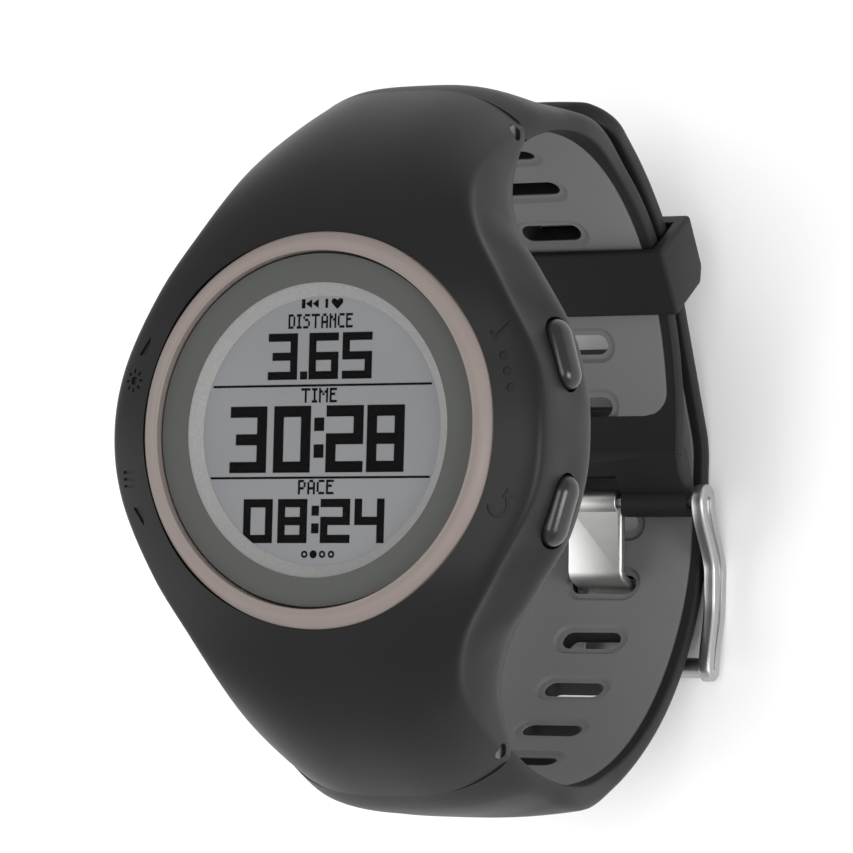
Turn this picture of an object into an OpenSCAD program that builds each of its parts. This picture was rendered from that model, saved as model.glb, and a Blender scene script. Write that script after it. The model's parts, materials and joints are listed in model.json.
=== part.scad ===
// Digital running watch with a round display, four side buttons and a fastened rubber strap.
// +Z is the way the display faces, +Y is 12 o'clock and +X is 3 o'clock.
// The watch stands face up on its buckle, and z = 0 is the surface it stands on.
// Inside the modules heights are counted from the face plane, just below the lens surface,
// and on_stand() lifts them.

/* [Case] */
// Half width of the case across the buttons
case_half = 24.3; // [24:0.1:24.6]
// Half width of the case end where the strap starts
lug_half = 12.7; // [12.5:0.1:13]
// Height of the face plane above the surface the watch stands on
lens_height = 70.2; // [70:0.1:70.6]
// Depth of the seat for the back cover below the face plane
back_seat = 13.3; // [13.2:0.1:13.6]
// Thickness of the back cover plate
cover_t = 1.6; // [1.4:0.1:1.8]

/* [Display] */
// Outer radius of the bezel ring
bezel_r = 19.6; // [19.4:0.05:19.7]
// Radius of the lens
lens_r = 17.55; // [17.4:0.05:17.6]
// Radius of the clear window inside the printed border
window_r = 14.55; // [14.4:0.05:14.7]
// Radius of the display that shows inside its surround
visible_r = 13.3; // [13:0.1:13.5]

/* [Buttons] */
// Length of a button along the case edge
button_l = 7.2; // [7:0.1:7.6]
// Height of a button
button_h = 3.6; // [3.4:0.1:3.8]
// Distance that a button travels
button_travel = 0.55; // [0.4:0.05:0.55]

/* [Strap] */
// Half width of the strap at the buckle
strap_half = 11.4; // [11.2:0.1:11.5]
// Thickness of the strap half that carries the buckle
upper_t = 2.6; // [2.5:0.1:2.6]
// Thickness of the strap half that has the holes
lower_t = 2.4; // [2.3:0.1:2.4]
// Distance between neighbouring holes along the strap
hole_pitch = 6.8; // [6.7:0.05:6.9]
// Length of a hole across the strap
hole_w = 7; // [6.8:0.1:7.2]
// Length of a hole along the strap
hole_l = 2.2; // [2.2:0.1:2.4]
// Length of the keeper loop along the strap
keeper_l = 7.8; // [7:0.1:8]

/* [Hidden] */
$fn = 96;
eps = 0.02;

// Round seats in the case, under the lens: the bezel's foot, the room for the inner parts
foot_r = 18.7;
foot_z = -2.3;
lens_seat_z = -1.2;
room_parts_r = 17.4;

// Case sections lie on rays from a point below the lens, in the plane that a wrist runs through.
// Each station: ray angle, half width and radius of the shoulder edge,
// half width and radius of the wrist-side edge, radius of the crown line.
fan_z = -35;
fan_end = 64;
fan_step = 4;
case_stations = [
    [0, case_half, 33.1, case_half + 0.2, 21.7, 35.8],
    [12, case_half - 1.0, 33.5, case_half - 0.1, 22.4, 36.4],
    [24, 19.3, 36.0, 22.9, 24.8, 38.3],
    [33, 15.7, 37.6, 19.8, 27.2, 39.2],
    [41, 13.9, 37.9, 16.5, 28.6, 39.6],
    [51, 13.2, 37.0, 14.0, 30.8, 39.8],
    [64, lug_half, 35.6, lug_half, 33.6, 39.8]
];

// Strap pins sit in the case ends
pin_y = 31;
pin_z = -17.7;
pin_r = 0.75;
pin_hole_r = 0.8;
knuckle_r = 2.0;
ear_in = 9;

// Centres and radii, in Y and Z, of the faces that touch the wrist
upper_c = [3.8, -31.8];
upper_r = 29;
lower_c = [-0.8, -35.4];
lower_r = 33.5;
upper_start = atan2(pin_z - upper_c[1], pin_y - upper_c[0]);
lower_start = atan2(pin_z - lower_c[1], -pin_y - lower_c[0]);
// The tail lies this far outside the upper strap half
tail_gap = 0.3;
tail_r = upper_r + upper_t + tail_gap;
// Past the keeper the tail springs a little away from the upper strap half
tail_lift_a = -46;
tail_free = 17.8;
tail_free_r = 43;
// Under the buckle the lower strap half runs flat at the height the watch stands on
flat_z = -lens_height + lower_t;
flat_end_y = 1.5;
lean = 63.5;
tuck_r = (lower_c[1] - flat_z - lower_r * sin(lean)) / (1 - sin(lean));
tuck_y = lower_c[0] - (lower_r - tuck_r) * cos(lean);
bend_r = 6;
reach = upper_c[1] - flat_z - bend_r;
offset_y = upper_c[0] - flat_end_y;
rise = acos((tail_r - bend_r) / norm([reach, offset_y])) - atan(offset_y / reach);
line_len = (upper_c[0] + tail_r * sin(rise) - flat_end_y - bend_r * sin(rise)) / cos(rise);
// Lower strap half as runs of [length, turn], along the face that touches the wrist
lower_runs = [
    [arc_len(lower_r, 180 + lean - lower_start), 180 + lean - lower_start],
    [arc_len(tuck_r, 90 - lean), 90 - lean],
    [flat_end_y - tuck_y, 0],
    [arc_len(bend_r, rise), rise],
    [line_len, 0],
    [arc_len(tail_r, 90 + tail_lift_a - rise), 90 + tail_lift_a - rise],
    [tail_free, tail_free / tail_free_r * 180 / PI]
];
lower_len = sum_len(lower_runs, 0);
lower_from = [
    lower_c[0] + lower_r * cos(lower_start), lower_c[1] + lower_r * sin(lower_start),
    lower_start + 90
];
tongue_hole_y = -12.45;
tuck_angle = acos((tuck_y - tongue_hole_y) / (tuck_r + lower_t / 2));
tongue_hole_s = lower_runs[0][0] + arc_len(tuck_r, 90 - lean - (90 - tuck_angle));
ear_end_s = 2.7;
ear_end_a = upper_start - 4.6;
tip_s = lower_len - 14;
lining_t = 0.5;
lining_half = strap_half - 1.2;

// Buckle, turning on a bar at the end of the upper strap half
bar_y = -3.2;
bar_z = -65;
bar_r = 0.75;
bar_hole_r = 0.8;
tongue_half = 3.25;
cross_y = -21.2;
cross_z = -67.6;
cross_r = 1.1;
arm_in = 12;
arm_out = 13.4;

// Keeper angle around the centre of the upper strap half
keeper_a = -55.5;
keeper_gap = 0.35;
keeper_in = 27.6;
keeper_out = 36.2;

// Buttons: place on the case side, height and the angle of the side there
button_x = 23.5;
button_y = 7.75;
button_z = -8.2;
button_a = 16;
stem_r = 0.8;
stem_end = -8.8;
clip_out = -8.3;
pocket_floor = -2.3 - button_travel - 0.05;

// The object's middle in Y comes to 0
y_mid = (
    max([for (p = lower_band(tip_s, lower_len, true)) p[0]])
        + min([for (p = lower_band(ear_end_s, tip_s + 0.1, true)) p[0]])
) / 2;

function arc_len(r, a) = r * a * PI / 180;
function sum_len(runs, i) = i == len(runs) ? 0 : runs[i][0] + sum_len(runs, i + 1);
function clamp01(t) = max(0, min(1, t));
function smooth(t) = let(u = clamp01(t)) u * u * (3 - 2 * u);

// Point and heading after going length s along a run that turns evenly by t degrees over l
function go(f, l, t, s) =
    t == 0
        ? [f[0] + s * cos(f[2]), f[1] + s * sin(f[2]), f[2]]
        : let(r = l / (t * PI / 180), a = f[2] + t * s / l)
            [f[0] + r * (sin(a) - sin(f[2])), f[1] - r * (cos(a) - cos(f[2])), a];
function frame_at(f, runs, s, i = 0) =
    (s <= runs[i][0] || i == len(runs) - 1)
        ? go(f, runs[i][0], runs[i][1], s)
        : frame_at(go(f, runs[i][0], runs[i][1], runs[i][0]), runs, s - runs[i][0], i + 1);
// A point d away from the face that touches the wrist, outwards
function off(f, d) = [f[0] + d * sin(f[2]), f[1] - d * cos(f[2])];

// Thickness of each strap half: fuller at the case
function thick_upper(a) = upper_t + 1.3 * smooth((a + 30) / 40) + 2.1 * smooth((a - 2) / 21);
function thick_lower(s) = lower_t + 1.4 * smooth((38 - s) / 30) + 2.0 * smooth((14 - s) / 12);

// A smooth curve through the case stations, in column c
function slope(t, i, c) =
    i == 0 ? 0
        : i == len(t) - 1 ? (t[i][c] - t[i - 1][c]) / (t[i][0] - t[i - 1][0])
        : (t[i + 1][c] - t[i - 1][c]) / (t[i + 1][0] - t[i - 1][0]);
function span_of(t, x, i = 0) = (i >= len(t) - 2 || x <= t[i + 1][0]) ? i : span_of(t, x, i + 1);
function station(x, c) =
    let(t = case_stations, i = span_of(t, x), h = t[i + 1][0] - t[i][0], u = (x - t[i][0]) / h)
    let(a = t[i][c], b = t[i + 1][c], m = slope(t, i, c) * h, n = slope(t, i + 1, c) * h)
    (2 * u * u * u - 3 * u * u + 1) * a + (u * u * u - 2 * u * u + u) * m
        + (3 * u * u - 2 * u * u * u) * b + (u * u * u - u * u) * n;

// Right half of a case section, from the wrist side round to the crown line
crown_steps = 7;
crown_power = 3.2;
function half_section(a) =
    let(w = station(a, 1), r = station(a, 2), wb = station(a, 3), rb = station(a, 4))
    let(top = station(a, 5), h = r - rb)
    concat(
        [
            [wb - 1.0, rb], [wb - 0.3, rb + 0.3], [wb, rb + 0.3 * h],
            [wb * 0.4 + w * 0.6, rb + 0.65 * h], [w, r - 0.12 * h], [w - 0.25, r - 0.02 * h]
        ],
        [
            for (i = [1:crown_steps])
                let(u = 1 - pow(i / (crown_steps + 0.5), 1.3))
                [(w - 0.25) * u, r + (top - r) * (1 - pow(u, crown_power))]
        ]
    );
function whole_section(a) =
    let(h = half_section(abs(a)), n = len(h))
    concat(
        h, [[0, station(abs(a), 5)]],
        [for (i = [n - 1:-1:0]) [-h[i][0], h[i][1]]]
    );

module on_stand() translate([0, -y_mid, lens_height]) children();
// Lays a flat Y, Z outline across the watch, centred on X
module across(width) rotate([90, 0, 90]) linear_extrude(width, center = true) children();
module rod(y, z, r, length) {
    translate([0, y, z]) rotate([0, 90, 0]) cylinder(r = r, h = length, center = true);
}
module tube_z(r_out, r_in, z0, z1) {
    translate([0, 0, z0]) difference() {
        cylinder(r = r_out, h = z1 - z0);
        translate([0, 0, -1]) cylinder(r = r_in, h = z1 - z0 + 2);
    }
}
module disc(r, z0, z1) translate([0, 0, z0]) cylinder(r = r, h = z1 - z0);
module block(x, y, z0, z1) translate([-x / 2, -y / 2, z0]) cube([x, y, z1 - z0]);
module pill(length, width) {
    square([length - width, width], center = true);
    for (s = [-1, 1]) translate([s * (length - width) / 2, 0]) circle(d = width, $fn = 32);
}
// Puts children at a button: +X points out of the case, Y runs along the case edge
module at_button(sx, sy) {
    mirror([sx < 0 ? 1 : 0, 0, 0]) mirror([0, sy < 0 ? 1 : 0, 0])
        translate([button_x, button_y, button_z]) rotate([0, 0, button_a]) children();
}
module each_button() for (sx = [-1, 1], sy = [-1, 1]) at_button(sx, sy) children();

// A solid through a row of closed rings with the same number of points
module skin(rings) {
    m = len(rings[0]);
    n = len(rings);
    sides = [
        for (i = [0:n - 2], j = [0:m - 1])
            let(k = (j + 1) % m, q = i * m)
            each [[q + j, q + k, q + m + k], [q + j, q + m + k, q + m + j]]
    ];
    caps = [[for (j = [m - 1:-1:0]) j], [for (j = [0:m - 1]) (n - 1) * m + j]];
    polyhedron(points = [for (r = rings, p = r) p], faces = concat(sides, caps), convexity = 6);
}
module case_loft() {
    skin([
        for (a = [-fan_end:fan_step:fan_end])
            [for (p = whole_section(a)) [p[0], p[1] * sin(a), fan_z + p[1] * cos(a)]]
    ]);
}

module cover_outline() {
    intersection() {
        circle(r = 21.5);
        square([33, 36], center = true);
    }
}
module at_screws() for (sx = [-1, 1], sy = [-1, 1]) translate([sx * 13.6, sy * 15.2, 0]) children();

// Room for the round strap end between the two ears of the case end
pin_fan = atan2(pin_y, pin_z - fan_z);
room_r = knuckle_r + 0.15;
module strap_end_room(sy) {
    mirror([0, sy < 0 ? 1 : 0, 0]) translate([0, pin_y, pin_z]) rotate([-pin_fan, 0, 0])
        across(2 * ear_in) polygon(concat(
            [for (a = [90:15:270]) room_r * [cos(a), sin(a)]],
            [[8, -room_r - 1], [8, room_r + 0.8]]
        ));
}

module case_body() {
    color([0.13, 0.14, 0.135]) on_stand() difference() {
        union() {
            case_loft();
            translate([0, 0, -back_seat]) linear_extrude(4) cover_outline();
        }
        // Bezel seat, lens seat, window and the room for the inner parts
        tube_z(bezel_r + 0.05, foot_r, foot_z - 0.05, 6);
        disc(foot_r + 0.05, lens_seat_z, 6);
        disc(16, foot_z - 0.2, 0);
        disc(room_parts_r, -back_seat - 2, foot_z + 0.1);
        each_button() {
            translate([pocket_floor, 0, 0]) rotate([90, 0, 90]) linear_extrude(8)
                pill(button_l + 0.3, button_h + 0.3);
            translate([pocket_floor - 0.9, 0, 0]) rotate([0, 90, 0]) cylinder(r = 1.45, h = 1);
            translate([-9.5, 0, 0]) rotate([0, 90, 0]) cylinder(r = stem_r + 0.05, h = 7.5);
        }
        for (sy = [-1, 1]) {
            strap_end_room(sy);
            rod(sy * pin_y, pin_z, pin_r + 0.03, 40);
        }
        at_screws() translate([0, 0, -back_seat - 1]) cylinder(r = 0.7, h = 4.6, $fn = 32);
    }
}

module bezel_ring() {
    color([0.52, 0.47, 0.45]) on_stand() rotate_extrude() polygon([
        [lens_r + 0.1, lens_seat_z], [foot_r, lens_seat_z], [foot_r, foot_z], [bezel_r, foot_z],
        [bezel_r, -1.0], [bezel_r - 0.35, -0.35], [bezel_r - 0.9, 0.1],
        [lens_r + 0.45, 0.2], [lens_r + 0.1, 0.05]
    ]);
}

module lens() {
    color([0.75, 0.8, 0.82, 0.35]) on_stand() rotate_extrude() polygon([
        [0, -0.7], [lens_r, -0.7], [lens_r, -0.1], [lens_r - 0.2, 0.1], [0, 0.1]
    ]);
}
module lens_mask() color([0.3, 0.31, 0.3]) on_stand() tube_z(room_parts_r, window_r, -0.8, -0.7);
module lens_gasket() {
    color([0.08, 0.08, 0.08]) on_stand() tube_z(room_parts_r, 16.1, lens_seat_z, -0.8);
}

module display_surround() {
    color([0.6, 0.6, 0.6]) on_stand() rotate_extrude() polygon([
        [visible_r, -1.8], [visible_r, -1.7], [window_r + 0.1, -0.85], [15.85, -0.85],
        [15.85, -1.8]
    ]);
}

module lcd_panel() {
    color([0.55, 0.57, 0.58]) on_stand() translate([0, 0, -3.4]) linear_extrude(1.6) intersection() {
        circle(r = 15.2);
        square([28.4, 28.4], center = true);
    }
}
module backlight_plate() {
    color([0.9, 0.9, 0.88]) on_stand() translate([0, 0, -4.2]) linear_extrude(0.8) intersection() {
        circle(r = 15);
        square([27, 27], center = true);
    }
}
module lcd_flex() {
    color([0.75, 0.5, 0.15]) on_stand() {
        translate([-5, -14.9, -3.0]) cube([10, 0.7, 0.15]);
        translate([-5, -14.9, -5.2]) cube([10, 0.15, 2.35]);
    }
}
// Ring that carries the display and the board
module chassis() {
    color([0.2, 0.2, 0.21]) on_stand() difference() {
        tube_z(17.2, 15.4, -5.2, -2.25);
        // Way for the display's flat cable, and the seat of the antenna strip
        translate([-5.5, -18, -6]) cube([11, 4, 5]);
        rotate([0, 0, 35]) translate([0, 0, -4.9]) rotate_extrude(angle = 110)
            translate([16.75, 0]) square([1, 2.7]);
    }
}
module gps_antenna() {
    color([0.8, 0.65, 0.3]) on_stand() rotate([0, 0, 36]) translate([0, 0, -4.85])
        rotate_extrude(angle = 108) translate([16.8, 0]) square([0.35, 2.55]);
}
board_top = -5.2;
board_under = -6.2;
module main_board() color([0.05, 0.3, 0.15]) on_stand() disc(15.6, board_under, board_top);
module rf_shield() {
    color([0.75, 0.75, 0.77]) on_stand() translate([-1, 3, 0]) difference() {
        block(13, 11, -7.9, board_under);
        block(12.4, 10.4, -7.7, board_under + 0.1);
    }
}
module board_chips() {
    color([0.1, 0.1, 0.11]) on_stand() {
        translate([-1, 3, 0]) block(7, 7, -7.2, board_under);
        translate([-4, -8, 0]) block(5, 4, -7.1, board_under);
        translate([4, -8, 0]) block(4, 5, -7.3, board_under);
        translate([0, 12, 0]) block(9, 2.4, -7.0, board_under);
        for (i = [-3:3]) translate([i * 2, -12.4, 0]) block(1, 0.6, -6.7, board_under);
    }
}
module tact_switches() {
    color([0.7, 0.7, 0.68]) on_stand() each_button() {
        translate([-13.7, -1.8, -1]) cube([3.5, 3.6, board_under - button_z + 1]);
        translate([-10.3, 0, -0.1]) rotate([0, 90, 0]) cylinder(r = 0.6, h = 0.85, $fn = 32);
    }
}
// Bottom of the parts that rest just above the back cover
parts_low = -13.2;
module battery() {
    color([0.72, 0.72, 0.74]) on_stand() translate([0, 3.2, parts_low]) linear_extrude(3.8) {
        square([22, 15], center = true);
        square([20, 17], center = true);
        for (sx = [-1, 1], sy = [-1, 1]) translate([sx * 10, sy * 7.5]) circle(r = 1, $fn = 32);
    }
}
module vibration_motor() {
    color([0.8, 0.8, 0.82]) on_stand() translate([-8.8, -8.8, 0]) disc(3.3, parts_low, -10.5);
}
module buzzer() {
    color([0.1, 0.1, 0.1]) on_stand() translate([8.8, -8.8, 0]) difference() {
        disc(3.3, parts_low, -10.8);
        disc(0.8, parts_low - 0.3, -12.4);
    }
}
contact_pitch = 2.54;
contact_y = -11.4;
module at_contacts() for (i = [-1.5:1:1.5]) translate([i * contact_pitch, contact_y, 0]) children();
module contact_block() {
    color([0.12, 0.12, 0.12]) on_stand() difference() {
        translate([0, contact_y, 0]) block(10.6, 2.8, -back_seat, -11.6);
        at_contacts() disc(0.65, -back_seat - 1, -11);
    }
}
module charge_contacts() {
    color([0.85, 0.68, 0.3]) on_stand() at_contacts() {
        disc(0.75, -back_seat - cover_t, -back_seat);
        disc(0.65, -back_seat - eps, -11.2);
    }
}
module back_cover() {
    color([0.16, 0.165, 0.16]) on_stand() difference() {
        union() {
            translate([0, 0, -back_seat - cover_t]) linear_extrude(cover_t) cover_outline();
            tube_z(17.3, 15.9, -back_seat - eps, -11.6);
        }
        tube_z(18, 16.5, -12.85, -11.95);
        at_contacts() disc(0.75, -back_seat - cover_t - 1, -back_seat + 1);
        at_screws() {
            disc(0.8, -back_seat - cover_t - 1, -back_seat + 1);
            disc(1.45, -back_seat - cover_t - 1, -back_seat - cover_t + 0.8);
        }
    }
}
module back_gasket() {
    color([0.05, 0.05, 0.05]) on_stand() translate([0, 0, -12.4]) rotate_extrude()
        translate([16.95, 0]) circle(r = 0.43, $fn = 32);
}
module back_screws() {
    color([0.7, 0.7, 0.72]) on_stand() at_screws() difference() {
        union() {
            disc(1.35, -back_seat - cover_t + 0.05, -back_seat - cover_t + 0.8);
            disc(0.65, -back_seat - cover_t + 0.7, -10.2);
        }
        translate([0, 0, -back_seat - cover_t - 1]) cylinder(r = 0.6, h = 1.5, $fn = 6);
    }
}

// One button: a domed cap with a stem that runs through the case wall
dome_r = 9;
module button_solid() {
    intersection() {
        translate([-2.3, 0, 0]) rotate([90, 0, 90]) linear_extrude(4) pill(button_l, button_h);
        translate([0.75 - dome_r, 0, 0]) sphere(r = dome_r);
    }
    translate([stem_end, 0, 0]) rotate([0, 90, 0]) cylinder(r = stem_r, h = -stem_end - 2);
}
module button_at(sx, sy) {
    color([0.1, 0.105, 0.1]) on_stand() at_button(sx, sy) difference() {
        button_solid();
        translate([clip_out - 0.05, 0, 0]) rotate([0, 90, 0]) tube_z(2, 0.6, 0, 0.5);
    }
}
module clip_at(sx, sy) {
    color([0.75, 0.75, 0.77]) on_stand() at_button(sx, sy) difference() {
        translate([clip_out, 0, 0]) rotate([0, 90, 0]) cylinder(r = 1.35, h = 0.4, $fn = 48);
        translate([clip_out - 0.5, 0, 0]) rotate([0, 90, 0]) cylinder(r = 0.6, h = 2, $fn = 48);
        translate([clip_out - 0.5, -0.4, -2]) cube([2, 0.8, 2]);
    }
}
module button_light() button_at(-1, 1);
module button_menu() button_at(-1, -1);
module button_start() button_at(1, 1);
module button_lap() button_at(1, -1);
module clip_light() clip_at(-1, 1);
module clip_menu() clip_at(-1, -1);
module clip_start() clip_at(1, 1);
module clip_lap() clip_at(1, -1);
module button_seals() {
    color([0.05, 0.05, 0.05]) on_stand() each_button() translate([pocket_floor - 0.45, 0, 0])
        rotate([0, 90, 0]) rotate_extrude($fn = 48) translate([1.16, 0]) circle(r = 0.28, $fn = 24);
}

// Side outline of the strap, seen from 6 o'clock: full width at the case, narrower below
module strap_width() {
    rotate([90, 0, 0]) linear_extrude(100, center = true) polygon([
        [-lug_half, -10], [lug_half, -10], [lug_half, -33], [strap_half, -46], [strap_half, -80],
        [-strap_half, -80], [-strap_half, -46], [-lug_half, -33]
    ]);
}
// Next to the case the outer corners of the strap are cut to the domed outline of the case end
module end_corners(sy) {
    w = station(fan_end, 1);
    r = station(fan_end, 2);
    top = station(fan_end, 5);
    mirror([0, sy < 0 ? 1 : 0, 0]) translate([0, 0, fan_z]) rotate([-fan_end, 0, 0])
        for (m = [0, 1]) mirror([m, 0, 0]) translate([0, 24, 0]) rotate([90, 0, 0]) linear_extrude(26)
            polygon(concat(
                [[w + 1, r - 1.1]],
                [
                    for (i = [0:4])
                        let(u = 1 - pow(i / 4.6, 1.3))
                        [w * u, r + (top - r) * (1 - pow(u, crown_power))]
                ],
                [[2, top + 0.1], [2, top + 8], [w + 1, top + 8]]
            ));
}
// A hole through the strap, with a wider shallow pocket round it on the wrist side;
// where the outer face is given, that face gets a pocket too
module hole_at(f, outside) {
    translate([0, f[0], f[1]]) rotate([f[2] - 90, 0, 0]) rotate([90, 0, 0]) {
        linear_extrude(12, center = true) pill(hole_w, hole_l);
        translate([0, 0, -4]) linear_extrude(4.9) pill(hole_w + 2, hole_l + 1.6);
        if (outside > 0)
            translate([0, 0, outside - 0.8]) linear_extrude(4) pill(hole_w + 1, hole_l + 1.4);
    }
}

// Upper strap half: angles go from the case end down to the buckle
upper_end = -94;
upper_lining_end = -86;
function upper_face(a, d) = [upper_c[0] + (upper_r + d) * cos(a), upper_c[1] + (upper_r + d) * sin(a)];
function upper_band(a0, a1, full, d = 0) =
    let(n = ceil((a0 - a1) / 3))
    concat(
        [for (i = [0:n]) upper_face(a0 + (a1 - a0) * i / n, -d)],
        [
            for (i = [n:-1:0])
                let(a = a0 + (a1 - a0) * i / n)
                upper_face(a, full ? thick_upper(a) : lining_t)
        ]
    );
function upper_frame(a) = [upper_face(a, 0)[0], upper_face(a, 0)[1], a + 90];
module upper_holes() {
    for (k = [0:6]) hole_at(upper_frame(-84 + k * hole_pitch / upper_r * 180 / PI), 0);
}
// Thickness next to the round strap end, where the strap passes under the case end,
// and how far this neck runs: degrees on the upper half, lengths on the lower half
neck_t = 3.4;
neck_a = 5.4;
neck_s = 3.2;
// The upper half's lining starts this many degrees below the case end
lining_gap_a = 8;
module strap_upper() {
    color([0.13, 0.135, 0.13]) on_stand() difference() {
        union() {
            difference() {
                intersection() {
                    across(60) polygon(upper_band(ear_end_a, upper_end, true));
                    strap_width();
                }
                end_corners(1);
            }
            across(2 * ear_in - 0.4) polygon([
                for (p = [[0, 0], [0, neck_t], [neck_a, neck_t], [neck_a, 0]])
                    upper_face(upper_start - p[0], p[1])
            ]);
            rod(pin_y, pin_z, knuckle_r, 2 * ear_in - 0.4);
            across(2 * strap_half) polygon([
                upper_face(upper_end + 2, 0), upper_face(upper_end, 0), [-0.4, -61.6],
                [bar_y + 0.9, bar_z + 1.4], [bar_y, bar_z], [bar_y + 1.2, bar_z - 1.2],
                [0.2, -64.9], upper_face(upper_end + 2, upper_t)
            ]);
            rod(bar_y, bar_z, 1.7, 2 * strap_half);
        }
        rod(pin_y, pin_z, pin_hole_r, 40);
        rod(bar_y, bar_z, bar_hole_r, 40);
        across(2 * tongue_half + 0.7) translate([bar_y - 3, bar_z - 3]) square([5.6, 6.5]);
        across(2 * lining_half) polygon(upper_band(upper_start - lining_gap_a, upper_lining_end, false, 1));
        upper_holes();
    }
}
module strap_upper_lining() {
    color([0.38, 0.38, 0.385]) on_stand() difference() {
        across(2 * lining_half) polygon(upper_band(upper_start - lining_gap_a, upper_lining_end, false));
        upper_holes();
    }
}

// Lower strap half: lengths go from the case end, under the buckle and along to the tip
function lower_frame(s) = frame_at(lower_from, lower_runs, s);
function lower_band(s0, s1, full, d = 0) =
    let(n = ceil((s1 - s0) / 1.5))
    concat(
        [for (i = [0:n]) off(lower_frame(s0 + (s1 - s0) * i / n), -d)],
        [
            for (i = [n:-1:0])
                let(s = s0 + (s1 - s0) * i / n)
                off(lower_frame(s), full ? thick_lower(s) : lining_t)
        ]
    );
module lower_holes() {
    for (k = [-6:7]) {
        s = tongue_hole_s + k * hole_pitch;
        hole_at(lower_frame(s), k >= 0 ? lower_t : 0);
    }
}
tip_corner = 5.5;
tip_run = 12;
// Where the lining begins on the lower half, and how far it stays back from the tip
lining_from = 5;
lining_back = 1.2;
module tip_outline(half, length) {
    translate([-half, -40]) square([2 * half, 40 + length - tip_corner]);
    translate([-half + tip_corner, -40]) square([2 * (half - tip_corner), 40 + length]);
    for (s = [-1, 1]) translate([s * (half - tip_corner), length - tip_corner]) circle(r = tip_corner);
}
// Keeps everything up to the last run of the strap and rounds the corners of the tip
module tip_round(half, cut) {
    f = lower_frame(lower_len - tip_run);
    translate([0, f[0], f[1]]) rotate([f[2], 0, 0]) linear_extrude(20, center = true)
        tip_outline(half, tip_run - cut);
}
module lower_body(s0, s1, half, cut, full, d = 0) {
    across(2 * half) polygon(lower_band(s0, tip_s + 0.1, full, d));
    intersection() {
        across(2 * half) polygon(lower_band(tip_s, s1, full, d));
        tip_round(half, cut);
    }
}
module strap_lower() {
    color([0.13, 0.135, 0.13]) on_stand() difference() {
        union() {
            difference() {
                intersection() {
                    lower_body(ear_end_s, lower_len, lug_half, 0, true);
                    strap_width();
                }
                end_corners(-1);
            }
            across(2 * ear_in - 0.4) polygon([
                for (p = [[0, 0], [0, neck_t], [neck_s, neck_t], [neck_s, 0]])
                    off(lower_frame(p[0]), p[1])
            ]);
            rod(-pin_y, pin_z, knuckle_r, 2 * ear_in - 0.4);
        }
        rod(-pin_y, pin_z, pin_hole_r, 40);
        lower_body(lining_from, lower_len - lining_back, lining_half, lining_back, false, 1);
        lower_holes();
    }
}
module strap_lower_lining() {
    color([0.38, 0.38, 0.385]) on_stand() difference() {
        lower_body(lining_from, lower_len - lining_back, lining_half, lining_back, false);
        lower_holes();
    }
}
pin_length = 2 * lug_half - 0.6;
module strap_pin_upper() color([0.75, 0.75, 0.77]) on_stand() rod(pin_y, pin_z, pin_r, pin_length);
module strap_pin_lower() color([0.75, 0.75, 0.77]) on_stand() rod(-pin_y, pin_z, pin_r, pin_length);

module keeper() {
    color([0.12, 0.125, 0.12]) on_stand() translate([0, upper_c[0], upper_c[1]]) rotate([keeper_a, 0, 0])
        difference() {
            across(2 * strap_half + 3.2) polygon([
                [keeper_in, -keeper_l / 2], [keeper_out - 1.3, -keeper_l / 2],
                [keeper_out, -keeper_l / 2 + 1.6], [keeper_out, keeper_l / 2],
                [keeper_in, keeper_l / 2]
            ]);
            difference() {
                rod(0, 0, tail_r + lower_t + keeper_gap, 2 * strap_half + 2 * keeper_gap);
                rod(0, 0, upper_r - keeper_gap, 2 * strap_half + 2 * keeper_gap + 1);
            }
        }
}

// Side arm of the buckle: a gently waved plate from the bar to the cross rod
function arm_mid(t) = bar_z - 3.6 * smooth(t / 0.45) + 1.2 * smooth((t - 0.6) / 0.4);
function arm_half(t) = 1.85 - 0.35 * smooth(t);
function arm_point(t, edge) = [bar_y + (cross_y - bar_y) * t, arm_mid(t) + edge * arm_half(t)];
arm_steps = 16;
module arm_outline() {
    difference() {
        union() {
            polygon(concat(
                [for (i = [0:arm_steps]) arm_point(i / arm_steps, 1)],
                [for (i = [arm_steps:-1:0]) arm_point(i / arm_steps, -1)]
            ));
            translate([bar_y, bar_z]) circle(r = arm_half(0));
            translate([cross_y, arm_mid(1)]) circle(r = arm_half(1));
        }
        // Flat foot at the height the watch stands on
        translate([-40, -lens_height - 10]) square([60, 10]);
    }
}
module buckle_frame() {
    color([0.72, 0.72, 0.73]) on_stand() difference() {
        union() {
            for (s = [-1, 1]) translate([s * (arm_in + arm_out) / 2, 0, 0])
                across(arm_out - arm_in) arm_outline();
            rod(cross_y, cross_z, cross_r, 2 * arm_out - 1);
        }
        rod(bar_y, bar_z, bar_r + 0.01, 2 * arm_in + 1.6);
    }
}
module buckle_bar() color([0.78, 0.78, 0.8]) on_stand() rod(bar_y, bar_z, bar_r, 2 * arm_in + 1.4);
module buckle_tongue() {
    color([0.76, 0.76, 0.77]) on_stand() difference() {
        union() {
            rod(bar_y, bar_z, 1.35, 2 * tongue_half - 1);
            across(2 * tongue_half) polygon([
                [bar_y - 0.6, bar_z + 0.7], [-10.9, bar_z + 0.5], [-11.7, bar_z + 0.1],
                [-12.15, bar_z - 0.7], [-13.2, -69.0], [-14.2, -69.2], [cross_y, cross_z - cross_r - 0.1],
                [cross_y - 1.2, cross_z - cross_r - 0.1], [cross_y - 1.2, -69.4],
                [cross_y - 0.2, -69.65], [-14.0, -70.05],
                [-12.7, -69.9], [-12.2, -69.4], [-11.1, bar_z - 0.8], [-10.7, bar_z - 0.5],
                [bar_y - 0.6, bar_z - 0.5]
            ]);
        }
        rod(bar_y, bar_z, bar_hole_r, 20);
    }
}

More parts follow.
